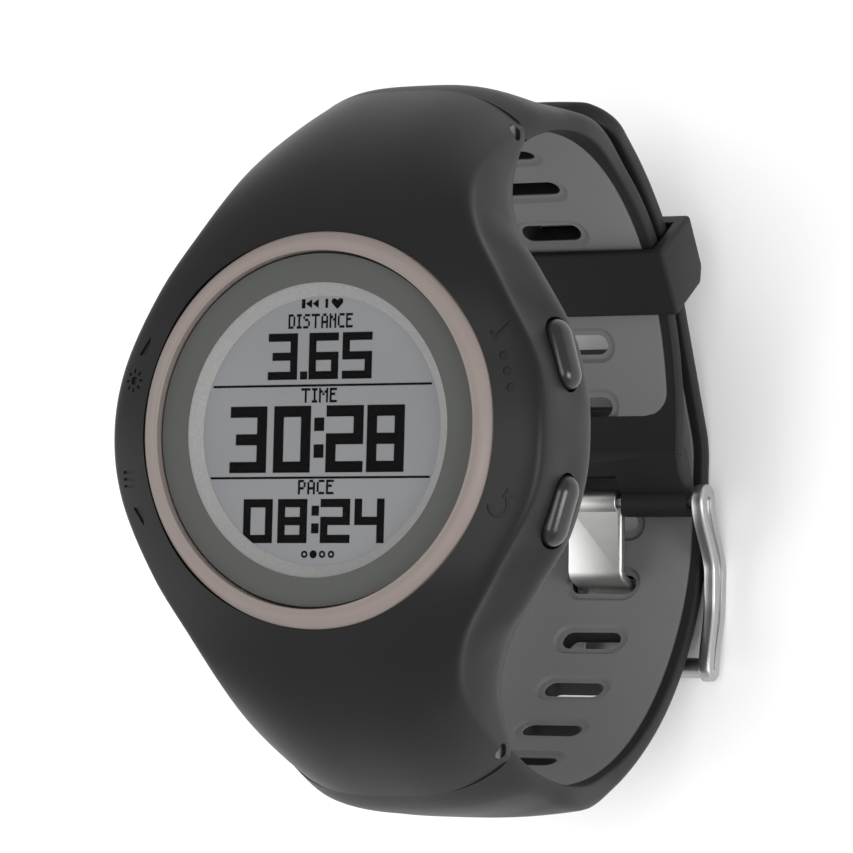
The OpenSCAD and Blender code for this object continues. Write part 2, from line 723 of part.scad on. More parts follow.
case_body();
bezel_ring();
lens();
lens_mask();
lens_gasket();
display_surround();
lcd_panel();
backlight_plate();
lcd_flex();
chassis();
main_board();
board_chips();
rf_shield();
gps_antenna();
battery();
vibration_motor();
buzzer();
tact_switches();
contact_block();
charge_contacts();
back_cover();
back_gasket();
back_screws();
button_light();
button_menu();
button_start();
button_lap();
clip_light();
clip_menu();
clip_start();
clip_lap();
button_seals();
strap_upper();
strap_upper_lining();
strap_lower();
strap_lower_lining();
strap_pin_upper();
strap_pin_lower();
keeper();
buckle_frame();
buckle_tongue();
buckle_bar();
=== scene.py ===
# %% [markdown]
# This script dresses a running watch whose solid parts were designed elsewhere and arrive as a
# fixed frame. Everything is in metres, +Z is the way the display faces, +Y is 12 o'clock and +X is
# 3 o'clock. The frame already has every part at its place, so the work here is the surface: smooth
# shells in place of faceted ones, rounded edges, the display's figures, and a finish for each part.

import json
import math

import bmesh
import bpy
from mathutils import Matrix, Vector
from mathutils.bvhtree import BVHTree


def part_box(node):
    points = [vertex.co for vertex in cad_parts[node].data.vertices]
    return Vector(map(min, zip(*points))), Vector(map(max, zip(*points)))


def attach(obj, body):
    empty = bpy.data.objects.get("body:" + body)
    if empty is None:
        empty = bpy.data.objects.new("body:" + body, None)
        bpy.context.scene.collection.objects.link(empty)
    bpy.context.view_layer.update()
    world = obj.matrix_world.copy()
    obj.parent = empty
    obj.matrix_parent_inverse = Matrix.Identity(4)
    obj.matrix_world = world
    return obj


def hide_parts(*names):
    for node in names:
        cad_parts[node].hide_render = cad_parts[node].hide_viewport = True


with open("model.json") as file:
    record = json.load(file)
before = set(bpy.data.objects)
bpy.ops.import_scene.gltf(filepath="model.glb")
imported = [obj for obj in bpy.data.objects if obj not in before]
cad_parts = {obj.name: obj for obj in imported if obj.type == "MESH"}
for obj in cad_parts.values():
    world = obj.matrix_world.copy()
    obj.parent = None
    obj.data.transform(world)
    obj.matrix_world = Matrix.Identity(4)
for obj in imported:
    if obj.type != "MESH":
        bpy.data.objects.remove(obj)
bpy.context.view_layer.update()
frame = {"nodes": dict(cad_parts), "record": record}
print("nodes in the frame:", len(frame["nodes"]))

# %% [markdown]
# A watch is drawn in millimetres from the face of its lens, so the helpers below take points in
# that way and turn them into the frame's metres. The lens face and the middle of the bezel are
# read from the frame, which keeps both drawings on the same spot.

# %% Millimetres from the lens face
MM = 0.001
LENS_RISE = 0.1
bezel_low, bezel_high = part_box("bezel_ring")
FACE_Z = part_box("lens")[1].z / MM - LENS_RISE
MID_Y = (bezel_low.y + bezel_high.y) / 2 / MM


def place(point):
    """A point in millimetres from the lens face, as a point of the frame."""
    x, y, z = point
    return Vector((x * MM, (y + MID_Y) * MM, (z + FACE_Z) * MM))


def polar(radius, degrees):
    """A point of a circle round the origin."""
    angle = math.radians(degrees)
    return radius * math.cos(angle), radius * math.sin(angle)


def circle(radius, count=32):
    return [polar(radius, 360 * i / count) for i in range(count)]


print("lens face stands at", round(FACE_Z, 2), "mm")

# %% [markdown]
# The camera looks down on the face from the 3 o'clock side, a little towards 6 o'clock, through a
# long lens, the way a watch is usually shown. A long lens keeps the round bezel close to a true
# ellipse. The camera aims to the right of the dial so that the strap fits in too.

# %% Camera
TURN, TILT, ROLL = math.radians(29), math.radians(-4), math.radians(-1.5)
DISTANCE = 480
FOCAL = 206.6
towards = Vector((
    math.sin(TURN) * math.cos(TILT), math.sin(TILT), math.cos(TURN) * math.cos(TILT)
))
level = Vector((math.cos(TURN), 0, -math.sin(TURN)))
right = math.cos(ROLL) * level - math.sin(ROLL) * towards.cross(level)
up = towards.cross(right)
aim = 11.22 * right + 0.25 * up
eye = DISTANCE * towards
back = (eye - aim).normalized()
side = (right - right.dot(back) * back).normalized()
camera_data = bpy.data.cameras.new("camera")
camera_data.lens = FOCAL
camera_data.sensor_width = 36
camera_data.clip_start = 0.05
camera_data.clip_end = 20
camera = bpy.data.objects.new("camera", camera_data)
bpy.context.scene.collection.objects.link(camera)
turn = Matrix((side, back.cross(side), back)).transposed().to_4x4()
camera.matrix_world = Matrix.Translation(place(eye)) @ turn
bpy.context.scene.camera = camera
print("camera", [round(v, 3) for v in camera.location])

# %% [markdown]
# Shader maths reads best as ordinary sums. The small class below wraps one output of a node, and
# adding or multiplying makes the Math nodes behind it. Colours go through Mix, because a Math node
# would turn them grey. Any other node comes from `add`, which takes the node's settings first and
# then what goes into its sockets.


# %% Shader helper
class Wire:
    """One output of a shader node, with ordinary arithmetic."""

    def __init__(self, tree, output):
        self.tree = tree
        self.output = output

    def math(self, operation, first, second):
        return add(self.tree, "ShaderNodeMath", {"operation": operation}, {0: first, 1: second})

    def __add__(self, other):
        return self.math("ADD", self, other)

    def __mul__(self, other):
        return self.math("MULTIPLY", self, other)


def plug(tree, socket, value):
    """Sets a socket to a number or colour, or links a wire to it."""
    if isinstance(value, Wire):
        tree.links.new(value.output, socket)
    else:
        socket.default_value = value


def add(tree, kind, settings, inputs, output=0):
    """Adds any node: its settings first, then its sockets by name or number."""
    node = tree.nodes.new(kind)
    for name, value in settings.items():
        if name == "stops":
            ramp = node.color_ramp
            ramp.elements[0].position, ramp.elements[0].color = value[0]
            ramp.elements[1].position, ramp.elements[1].color = value[1]
        else:
            setattr(node, name, value)
    for name, value in inputs.items():
        plug(tree, node.inputs[name], value)
    return Wire(tree, node.outputs[output])


def blend(tree, factor, first, second):
    """Mixes two colours by a wire."""
    return add(
        tree, "ShaderNodeMix", {"data_type": "RGBA"}, {0: factor, 6: first, 7: second}, output=2
    )


def shade(amount, tint):
    """A colour made lighter or darker."""
    return tuple(amount * part for part in tint) + (1.0,)


print("shader helper ready")

# %% [markdown]
# Most of this watch is moulded: a fine spark-eroded texture in the tool gives the plastic its satin
# look, and handling leaves faint tone changes. So one recipe makes all of them from four things:
# colour, roughness, the size of the grain and its depth. Cast or stamped steel is another recipe,
# with long fine scratches along the way it was brushed.


# %% Finish recipes
def wire_up(tree, shader, inputs):
    """Sets or links several sockets of a shader."""
    for socket, value in inputs.items():
        plug(tree, shader.inputs[socket], value)


def principled(name, constants):
    material = bpy.data.materials.new(name)
    material.use_nodes = True
    tree = material.node_tree
    shader = tree.nodes["Principled BSDF"]
    wire_up(tree, shader, constants)
    return material, tree, shader


def spot(tree, stretch=(1, 1, 1)):
    """Where a point is on its piece, in metres, stretched along the axes."""
    here = add(tree, "ShaderNodeTexCoord", {}, {}, output="Object")
    return add(tree, "ShaderNodeMapping", {}, {"Vector": here, "Scale": stretch})


def noise(tree, where, scale, detail=2.0, rough=0.5):
    inputs = {"Vector": where, "Scale": scale, "Detail": detail, "Roughness": rough}
    return add(tree, "ShaderNodeTexNoise", {}, inputs)


def bump(tree, height, depth):
    return add(tree, "ShaderNodeBump", {}, {"Strength": 1.0, "Distance": depth, "Height": height})


def moulded(name, colour, rough, grain, depth, change, shine=0.5):
    """Moulded plastic or rubber: grain size and depth in millimetres."""
    material, tree, shader = principled(name, {"Specular IOR Level": shine})
    here = spot(tree)
    fine = noise(tree, here, 1 / (grain * MM), 3.0, 0.6)
    broad = noise(tree, here, 1 / (9 * MM), 2.0)
    dust = noise(tree, here, 1 / (1.6 * MM), 4.0, 0.7)
    tone = blend(tree, broad * 0.7 + dust * 0.3, shade(1 - change, colour), shade(1 + change, colour))
    wire_up(tree, shader, {
        "Base Color": tone,
        "Roughness": fine * 0.12 + broad * 0.08 + (rough - 0.1),
        "Normal": bump(tree, fine, depth * MM),
    })
    return material


def brushed(name, colour, rough, along, depth=0.0015, change=0.1):
    """Metal with fine scratches; a small number in `along` stretches them that way."""
    material, tree, shader = principled(name, {"Metallic": 1.0})
    lines = noise(tree, spot(tree, along), 1 / (0.12 * MM), 3.0, 0.6)
    broad = noise(tree, spot(tree), 1 / (4 * MM), 3.0)
    tone = blend(tree, lines * 0.6 + broad * 0.4, shade(1 - change, colour), shade(1 + change, colour))
    wire_up(tree, shader, {
        "Base Color": tone,
        "Roughness": lines * 0.16 + broad * 0.1 + (rough - 0.13),
        "Normal": bump(tree, lines, depth * MM),
    })
    return material


print("recipes ready")

# %% [markdown]
# Each slot of the parts list gets its finish here. The case and strap are nearly black but not quite: a
# soft-touch black reflects one or two per cent. The bezel is a warm grey, the strap lining a middle grey,
# and the display a cool grey film behind its light-coloured surround. The strap pins get a darker copy of
# the brushed steel, which paints in the shade of the holes they sit in.


# %% Finishes by slot
def clear_lens():
    material, tree, shader = principled("lens_glass", {
        "Base Color": (0.03, 0.032, 0.034, 1), "IOR": 1.5, "Specular IOR Level": 0.2
    })
    smear = noise(tree, spot(tree), 1 / (7 * MM), 3.0)
    wire_up(tree, shader, {
        "Alpha": smear * 0.02 + 0.01,
        "Roughness": smear * 0.05 + 0.04,
        "Normal": bump(tree, smear, 0.002 * MM),
    })
    return material


def speckled(name, colour, speck, rough):
    """Light plastic with a fine dark speckle, as the display surround has."""
    material, tree, shader = principled(name, {})
    here = spot(tree)
    dots = noise(tree, here, 1 / (0.22 * MM), 2.0, 0.8)
    sharp = add(
        tree, "ShaderNodeValToRGB", {"stops": [(0.42, (0, 0, 0, 1)), (0.6, (1, 1, 1, 1))]}, {"Fac": dots}
    )
    wire_up(tree, shader, {
        "Base Color": blend(tree, sharp, shade(1, speck), shade(1, colour)),
        "Roughness": dots * 0.15 + rough,
        "Normal": bump(tree, dots, 0.004 * MM),
    })
    return material


def display_film():
    """Reflective display: a cool grey with its faint square cells."""
    material, tree, shader = principled("display_grey", {"Specular IOR Level": 0.08})
    here = spot(tree)
    cells = add(
        tree, "ShaderNodeTexVoronoi", {"distance": "CHEBYCHEV"},
        {"Vector": here, "Scale": 1 / (0.16 * MM), "Randomness": 0.0}
    )
    broad = noise(tree, here, 1 / (14 * MM), 1.0)
    tone = blend(tree, cells * 0.25 + broad * 0.75, (0.175, 0.179, 0.186, 1), (0.232, 0.237, 0.246, 1))
    wire_up(tree, shader, {
        "Base Color": tone,
        "Roughness": broad * 0.1 + 0.38,
        "Normal": bump(tree, cells, 0.002 * MM),
    })
    return material


BLACK = (0.0125, 0.0132, 0.0128)
SATIN, FLAT, GLOSS = 0.16, 0.04, 0.45
# Colour, roughness, grain size, grain depth, change of tone and, where it is not 0.5, the shine
MOULDED = {
    "case_polymer": ((0.0095, 0.01, 0.0097), 0.4, 0.14, 0.007, 0.1, SATIN),
    "bezel_polymer": ((0.213, 0.18, 0.168), 0.42, 0.1, 0.003, 0.06, SATIN),
    "lens_border": ((0.083, 0.086, 0.081), 0.45, 0.2, 0.002, 0.05, FLAT),
    "white_plastic": ((0.75, 0.75, 0.72), 0.4, 0.3, 0.002, 0.04),
    "copper_flex": ((0.5, 0.26, 0.07), 0.35, 0.4, 0.004, 0.2),
    "inner_polymer": ((0.05, 0.05, 0.053), 0.5, 0.2, 0.006, 0.1),
    "board_green": ((0.015, 0.11, 0.045), 0.3, 0.5, 0.008, 0.25),
    "chip_black": ((0.006, 0.006, 0.007), 0.55, 0.2, 0.004, 0.15),
    "button_polymer": ((0.009, 0.0095, 0.009), 0.24, 0.1, 0.002, 0.08, GLOSS),
    "seal_rubber": ((0.02, 0.02, 0.02), 0.6, 0.15, 0.004, 0.1),
    "display_ink": ((0.0015, 0.0015, 0.0017), 0.6, 0.2, 0.001, 0.05, FLAT),
    "strap_rubber": (BLACK, 0.5, 0.18, 0.008, 0.1, SATIN),
    "lining_rubber": ((0.17, 0.168, 0.167), 0.62, 0.2, 0.008, 0.08, SATIN),
}
# Colour, roughness, the way it was brushed and, where they differ, scratch depth and change of tone
BRUSHED = {
    "tin_plate": ((0.6, 0.6, 0.61), 0.35, (1, 0.1, 1)),
    "gold_plate": ((0.83, 0.6, 0.22), 0.25, (1, 1, 0.3)),
    "battery_foil": ((0.55, 0.55, 0.57), 0.4, (0.2, 1, 1), 0.004),
    "steel_polished": ((0.45, 0.45, 0.455), 0.34, (1, 0.15, 1), 0.001, 0.05),
    "steel_brushed": ((0.68, 0.68, 0.67), 0.4, (0.15, 1, 1), 0.002, 0.08),
    # Painted shade: the brushed steel darkened for the strap pins where they sit in their holes
    "pin_steel_painted_shade": ((0.16, 0.16, 0.16), 0.5, (0.15, 1, 1), 0.002, 0.08),
}
FINISH = {
    "lens_glass": clear_lens(),
    "surround_grey": speckled("surround_grey", (0.25, 0.253, 0.248), (0.215, 0.218, 0.213), 0.5),
    "display_grey": display_film(),
}
FINISH.update({name: moulded(name, *values) for name, values in MOULDED.items()})
FINISH.update({name: brushed(name, *values) for name, values in BRUSHED.items()})
slot_of = {part["node"]: part["material_slot"] for part in frame["record"]["subparts"]}
for node_name, node in frame["nodes"].items():
    node.data.materials.clear()
    # The strap pins take the darkened steel, a painted shade of their holes
    shaded = node_name.startswith("strap_pin")
    node.data.materials.append(FINISH["pin_steel_painted_shade" if shaded else slot_of[node_name]])
print("finishes:", len(FINISH))

# %% [markdown]
# Every new piece goes through the same door: it becomes a mesh, gets its finish, is smoothed where
# it curves and kept crisp where it has an edge, rides on its body and hides the plain part that it
# stands for.


# %% Making pieces
SMOOTH_ANGLE = math.radians(38)


def as_object(name, points, faces):
    """A mesh object from points in millimetres from the lens face."""
    mesh = bpy.data.meshes.new(name)
    mesh.from_pydata([place(p) for p in points], [], faces)
    mesh.validate()
    thing = bpy.data.objects.new(name, mesh)
    bpy.context.scene.collection.objects.link(thing)
    shape = bmesh.new()
    shape.from_mesh(mesh)
    bmesh.ops.recalc_face_normals(shape, faces=shape.faces)
    shape.to_mesh(mesh)
    shape.free()
    return thing


def bake_modifiers(thing):
    """Turns a piece's modifiers into its mesh."""
    ready = thing.evaluated_get(bpy.context.evaluated_depsgraph_get())
    mesh = bpy.data.meshes.new_from_object(ready)
    thing.modifiers.clear()
    thing.data = mesh
    return thing


def combine(thing, others, operation="DIFFERENCE", solver="MANIFOLD"):
    """Cuts the others out of a piece, or joins them to it, and deletes them."""
    for other in others:
        step = thing.modifiers.new("combine", "BOOLEAN")
        step.operation = operation
        step.solver = solver
        step.object = other
        bake_modifiers(thing)
    for other in others:
        bpy.data.objects.remove(other)
    return thing


def soften(thing, width, steps=2, angle=40):
    """Rounds the edges of a piece, width in millimetres."""
    edge = thing.modifiers.new("soften", "BEVEL")
    edge.width = width * MM
    edge.segments = steps
    edge.limit_method = "ANGLE"
    edge.angle_limit = math.radians(angle)
    edge.use_clamp_overlap = True
    return bake_modifiers(thing)


def finish_piece(thing, slot, body, nodes=(), angle=SMOOTH_ANGLE, look=None):
    """Gives a piece its finish, its smoothing, its body and the parts it stands for."""
    thing.data.materials.clear()
    thing.data.materials.append(FINISH[look or slot])
    thing.data.polygons.foreach_set("use_smooth", [True] * len(thing.data.polygons))
    thing.data.set_sharp_from_angle(angle=angle)
    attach(thing, body)
    if nodes:
        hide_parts(*nodes)
    print(thing.name, "has", len(thing.data.polygons), "faces")


def rings_to_faces(rings, count, closed=False):
    """Quads between neighbouring rings of points, with flat caps on an open row of rings."""
    faces = []
    last = rings if closed else rings - 1
    for i in range(last):
        for j in range(count):
            a, b = i * count + j, i * count + (j + 1) % count
            c, d = ((i + 1) % rings) * count + (j + 1) % count, ((i + 1) % rings) * count + j
            faces.append((a, b, c, d))
    if not closed:
        faces.append(tuple(range(count - 1, -1, -1)))
        faces.append(tuple((rings - 1) * count + j for j in range(count)))
    return faces


def loft(name, rings):
    points = [p for ring in rings for p in ring]
    return as_object(name, points, rings_to_faces(len(rings), len(rings[0])))


def lathe(name, profile, segments=256):
    """Turns a closed profile of (radius, height) round the axis through the display."""
    points = [
        (*polar(r, 360 * i / segments), z) for i in range(segments) for r, z in profile
    ]
    return as_object(name, points, rings_to_faces(segments, len(profile), closed=True))


def stack(name, profile, segments=256):
    """Circles of (radius, height) one above the other, closed at both ends."""
    return loft(name, [[(x, y, z) for x, y in circle(r, segments)] for r, z in profile])


def cross_slab(name, outline, half):
    """An outline in (y, z), extruded across the watch from one side to the other."""
    return loft(name, [[(x, y, z) for y, z in outline] for x in (-half, half)])


def cross_rod(name, y, z, radius, half, segments=48):
    return cross_slab(name, [(y + u, z + v) for u, v in circle(radius, segments)], half)


print("piece helpers ready")

# %% [markdown]
# The case is one moulding that flows from the round display into two narrow ends. Rays from a point
# deep below the lens fan out towards 12 and 6 o'clock, and the case has one section on each ray.
# A handful of listed stations gives the section's width and heights, and a smooth curve runs through
# them, so a wide dial and a slim end belong to one skin. Corner cutting then rounds each section's
# outline.

# %% Case sections
FAN_Z = -35
FAN_END = 64
CASE_HALF = (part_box("case_body")[1].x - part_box("case_body")[0].x) / 2 / MM - 0.2
LUG_HALF = 12.7
# Ray angle, shoulder half width and radius, wrist edge half width and radius, crown radius
STATIONS = [
    (0, CASE_HALF, 33.1, CASE_HALF + 0.2, 21.7, 35.8),
    (12, CASE_HALF - 1.0, 33.5, CASE_HALF - 0.1, 22.4, 36.4),
    (24, 19.3, 36.0, 22.9, 24.8, 38.3),
    (33, 15.7, 37.6, 19.8, 27.2, 39.2),
    (41, 13.9, 37.9, 16.5, 28.6, 39.6),
    (51, 13.2, 37.0, 14.0, 30.8, 39.8),
    (64, LUG_HALF, 35.6, LUG_HALF, 33.6, 39.8),
]


def along_stations(angle, column):
    """A value at any ray angle, on a smooth curve through the stations."""
    rows = STATIONS
    i = 0
    while i < len(rows) - 2 and angle > rows[i + 1][0]:
        i += 1

    def slope(k):
        if k == 0:
            return 0
        low, high = rows[k - 1], rows[min(k + 1, len(rows) - 1)]
        return (high[column] - low[column]) / (high[0] - low[0])

    step = rows[i + 1][0] - rows[i][0]
    u = (angle - rows[i][0]) / step
    a, b = rows[i][column], rows[i + 1][column]
    rise = (u**3 - 2 * u**2 + u) * slope(i) * step + (u**3 - u**2) * slope(i + 1) * step
    return (2 * u**3 - 3 * u**2 + 1) * a + (3 * u**2 - 2 * u**3) * b + rise


def case_section(angle):
    """The section on one ray, as (x, radius) corners going round from the wrist side."""
    shoulder, rim, wrist, floor, top = [along_stations(angle, c) for c in range(1, 6)]
    height = rim - floor
    right_side = [
        (wrist * 0.5, floor), (wrist - 1.0, floor), (wrist - 0.3, floor + 0.3),
        (wrist, floor + 0.3 * height), (wrist * 0.4 + shoulder * 0.6, floor + 0.65 * height),
        (shoulder, rim - 0.12 * height), (shoulder - 0.25, rim - 0.02 * height),
    ]
    for i in range(1, 10):
        u = 1 - (i / 9.5) ** 1.3
        right_side.append(((shoulder - 0.25) * u, rim + (top - rim) * (1 - u**3.2)))
    left_side = [(-x, r) for x, r in reversed(right_side)]
    return [(0, floor)] + right_side + [(0, top)] + left_side


def cut_corners(outline, times):
    """Rounds a closed outline by cutting its corners again and again."""
    for _ in range(times):
        rounder = []
        for i, p in enumerate(outline):
            q = outline[(i + 1) % len(outline)]
            rounder.append(tuple(0.75 * a + 0.25 * b for a, b in zip(p, q)))
            rounder.append(tuple(0.25 * a + 0.75 * b for a, b in zip(p, q)))
        outline = rounder
    return outline


BUTTON_X, BUTTON_Y, BUTTON_Z = 23.5, 7.75, -8.2
BUTTON_ANGLE = math.radians(16)
BUTTON_PLACES = {"light": (-1, 1), "menu": (-1, -1), "start": (1, 1), "lap": (1, -1)}
DISH = 0.35


def dished(x, y, z):
    """Sinks the side of the case a little round each button."""
    if abs(x) < 15:
        return (x, y, z)
    far = ((abs(y) - BUTTON_Y) / 5.2) ** 2 + ((z - BUTTON_Z) / 2.6) ** 2
    return (x - math.copysign(DISH * math.exp(-far), x), y, z)


STEPS = 160
rings = []
for i in range(STEPS + 1):
    angle = -FAN_END + 2 * FAN_END * i / STEPS
    a = math.radians(angle)
    ring = [
        dished(x, r * math.sin(a), FAN_Z + r * math.cos(a))
        for x, r in cut_corners(case_section(abs(angle)), 2)
    ]
    rings.append(ring)
case = loft("case_shell", rings)
print("case skin:", len(rings), "rings of", len(rings[0]))

# %% [markdown]
# Everything that fits into the case is cut out of this skin: the seat of the bezel and the lens,
# the room for the electronics, a pocket and a bore for each button, the rooms for the strap ends
# with their pin holes, and the screw holes under the back cover.

# %% Case cuts
BACK_SEAT = -13.3
PIN_Y, PIN_Z, PIN_R = 31.0, -17.7, 0.75
KNUCKLE_R, EAR_IN = 2.0, 9.0
BUTTON_L, BUTTON_H = 7.2, 3.6
BEZEL_R, FOOT_R, ROOM_R, LENS_SEAT = 19.6, 18.7, 17.4, -1.2


def cover_outline():
    """The back cover's outline: a circle cut to a slightly tall rectangle."""
    points = []
    for x, y in circle(1, 128):
        reach = min(21.5, 16.5 / max(abs(x), 1e-6), 18 / max(abs(y), 1e-6))
        points.append((reach * x, reach * y))
    return points


def prism_z(name, outline, low, high):
    return loft(name, [[(x, y, z) for x, y in outline] for z in (low, high)])


def pill_outline(length, width, turns=12):
    """A pill as (along, across) points."""
    straight, r = (length - width) / 2, width / 2
    points = []
    for end in (1, -1):
        for i in range(turns + 1):
            u, v = polar(r, -90 + 180 * i / turns)
            points.append((end * (straight + u), end * v))
    return points


def at_button(side_x, side_y, out, along, rise):
    """A point given from a button's middle: outwards, along the case edge and up."""
    c, s = math.cos(BUTTON_ANGLE), math.sin(BUTTON_ANGLE)
    x = BUTTON_X + out * c - along * s
    y = BUTTON_Y + out * s + along * c
    return (side_x * x, side_y * y, BUTTON_Z + rise)


def button_stack(name, where, layers):
    """Pill or round outlines at growing distances outwards, made into one solid."""
    return loft(name, [[at_button(*where, out, v, w) for v, w in outline] for out, outline in layers])


def dot(x, y, radius, count=20):
    return [(x + u, y + v) for u, v in circle(radius, count)]


boss = prism_z("boss", cover_outline(), BACK_SEAT, BACK_SEAT + 4)
combine(case, [boss], "UNION")
cutters = [stack("seat", [
    (ROOM_R, -16), (ROOM_R, -2.2), (16, -2.2), (16, LENS_SEAT), (FOOT_R, LENS_SEAT),
    (FOOT_R, -2.35), (BEZEL_R + 0.05, -2.35), (BEZEL_R + 0.05, 6)
])]
pin_lean = math.atan2(PIN_Y, PIN_Z - FAN_Z)
for side in (1, -1):
    room = [polar(KNUCKLE_R + 0.15, a) for a in range(90, 271, 10)]
    room += [(8, -KNUCKLE_R - 1.15), (8, KNUCKLE_R + 0.95)]
    outline = []
    for u, v in room:
        y = PIN_Y + u * math.cos(pin_lean) + v * math.sin(pin_lean)
        outline.append((side * y, PIN_Z - u * math.sin(pin_lean) + v * math.cos(pin_lean)))
    cutters.append(cross_slab("room", outline, EAR_IN))
    cutters.append(cross_rod("pin_hole", side * PIN_Y, PIN_Z, PIN_R + 0.06, 20))
for where in BUTTON_PLACES.values():
    pocket = pill_outline(BUTTON_L + 0.5, BUTTON_H + 0.5)
    cutters.append(button_stack("pocket", where, [(-2.9, pocket), (5, pocket)]))
    cutters.append(button_stack("bore", where, [(-9.5, circle(0.85)), (-2, circle(0.85))]))
for x, y in [(x, y) for x in (-13.6, 13.6) for y in (-15.2, 15.2)]:
    cutters.append(prism_z("screw_hole", dot(x, y, 0.7, 32), BACK_SEAT - 1, BACK_SEAT + 3.6))
combine(case, cutters)
print("case cut with", len(cutters), "cutters")

# %% [markdown]
# Small marks beside the buttons tell what each does: a pointer, a lamp, three bars and a pointer on
# the 9 o'clock side, and a tick, three dots and a turn arrow on the other. They are pressed a
# fifth of a millimetre into the case, each square to the surface where it lies.

# %% Marks beside the buttons
MARK_DEPTH = 0.22


def stroke(start, end, width):
    """A straight stroke as a four-cornered outline."""
    dx, dy = end[0] - start[0], end[1] - start[1]
    size = math.hypot(dx, dy)
    nx, ny = -dy / size * width / 2, dx / size * width / 2
    return [
        (start[0] + nx, start[1] + ny), (start[0] - nx, start[1] - ny),
        (end[0] - nx, end[1] - ny), (end[0] + nx, end[1] + ny),
    ]


def arc_stroke(radius, start, end, width, steps=8):
    """An open arc of even width as one outline."""
    angles = [start + (end - start) * i / steps for i in range(steps + 1)]
    outside = [polar(radius + width / 2, a) for a in angles]
    return outside + [polar(radius - width / 2, a) for a in reversed(angles)]


DOT = dot(0, 0, 0.42)
SUN = [DOT] + [stroke(polar(0.75, a), polar(1.2, a), 0.22) for a in range(0, 360, 45)]
TICK = [
    (-1.2, -0.1), (-0.75, -0.75), (-0.5, -0.75), (1.1, 1.1), (0.8, 1.25), (-0.6, -0.2), (-1.0, 0.2)
]
MARKS = [
    (-20.2, 8.5, [[(-0.75, -0.75), (0.75, -0.75), (0.75, 1.15)]]),
    (-21.3, 5.2, SUN),
    (-21.6, -4.7, [stroke((-0.8, h), (0.8, h), 0.28) for h in (-0.7, 0, 0.7)]),
    (-20.4, -8.3, [[(-0.75, 0.75), (0.75, 0.75), (0.75, -1.15)]]),
    (19.9, 9.3, [TICK]),
    (20.2, 7.0, [DOT]),
    (20.65, 5.5, [DOT]),
    (21.1, 3.9, [DOT]),
    (20.0, -7.6, [
        arc_stroke(0.9, 170, 360, 0.42), stroke((0.9, -0.02), (0.9, 0.9), 0.42),
        [(0.35, 0.88), (1.45, 0.88), (0.9, 1.75)],
    ]),
]
skin = BVHTree.FromObject(case, bpy.context.evaluated_depsgraph_get())
cutters = []
for x, y, outlines in MARKS:
    spot_on, normal, _, _ = skin.ray_cast(place((x, y, 9)), Vector((0, 0, -1)))
    up_mark = (Vector((0, 1, 0)) - normal.y * normal).normalized()
    side_mark = up_mark.cross(normal)
    here = Vector((spot_on.x / MM, spot_on.y / MM - MID_Y, spot_on.z / MM - FACE_Z))
    for outline in outlines:
        rows = [
            [here + u * side_mark + v * up_mark + h * normal for u, v in outline]
            for h in (-MARK_DEPTH, 1.0)
        ]
        cutters.append(loft("mark", rows))
combine(case, cutters)
finish_piece(case, "case_polymer", "root", ["case_body"])

# %% [markdown]
# The bezel is a turned ring with a nearly flat top, a small lip on the inside and a polished bevel
# outside. The lens sits just inside it. Under the lens come the printed border, the stepped
# surround and the display.

# %% Bezel, lens, border and surround
LENS_R = 17.55
WINDOW_R = 14.55
bezel = lathe("bezel_turned", [
    (LENS_R + 0.1, LENS_SEAT), (LENS_R + 0.1, 0.02), (LENS_R + 0.16, 0.1), (LENS_R + 0.28, 0.13),
    (LENS_R + 0.36, 0.1), (LENS_R + 0.42, 0.1), (LENS_R + 0.6, 0.17), (LENS_R + 0.9, 0.195),
    (LENS_R + 1.15, 0.17), (LENS_R + 1.32, 0.1), (LENS_R + 1.4, 0.03), (LENS_R + 1.75, -0.42),
    (LENS_R + 1.95, -0.78), (BEZEL_R - 0.02, -1.0), (BEZEL_R, -2.3), (FOOT_R + 0.02, -2.3),
    (FOOT_R + 0.02, LENS_SEAT)
])
finish_piece(bezel, "bezel_polymer", "root", ["bezel_ring"], math.radians(25))
lens = stack("lens_turned", [
    (LENS_R - 0.1, -0.7), (LENS_R, -0.6), (LENS_R, -0.1), (LENS_R - 0.06, 0.02), (LENS_R - 0.2, 0.08),
    (LENS_R - 0.5, 0.1)
])
finish_piece(lens, "lens_glass", "root", ["lens"], math.radians(25))
border = lathe("border_print", [
    (WINDOW_R, -0.8), (ROOM_R, -0.8), (ROOM_R, -0.71), (WINDOW_R, -0.71)
])
finish_piece(border, "lens_border", "root", ["lens_mask"])
surround = lathe("surround_moulded", [
    (13.3, -1.8), (13.3, -1.74), (13.42, -1.66), (14.45, -0.98), (14.62, -0.88), (14.8, -0.85),
    (15.85, -0.85), (15.85, -1.8)
])
finish_piece(surround, "surround_grey", "root", ["display_surround"])

# %% [markdown]
# The display shows three rows: a distance, a time and a pace, each with a small label, between
# thin lines. Figures on such a display are seven-segment strokes. The labels are plain generic
# words in dots, six rows high. Everything lies as a thin film on the display.

# %% Figures on the display
INK_LOW, INK_HIGH = -1.8, -1.77
ink_boxes = []


def ink(x0, y0, x1, y1):
    ink_boxes.append((x0, y0, x1, y1))


LIT = {
    "0": "abcdef", "2": "abged", "3": "abgcd", "4": "fgbc", "5": "afgcd", "6": "afgedc", "8": "abcdefg"
}


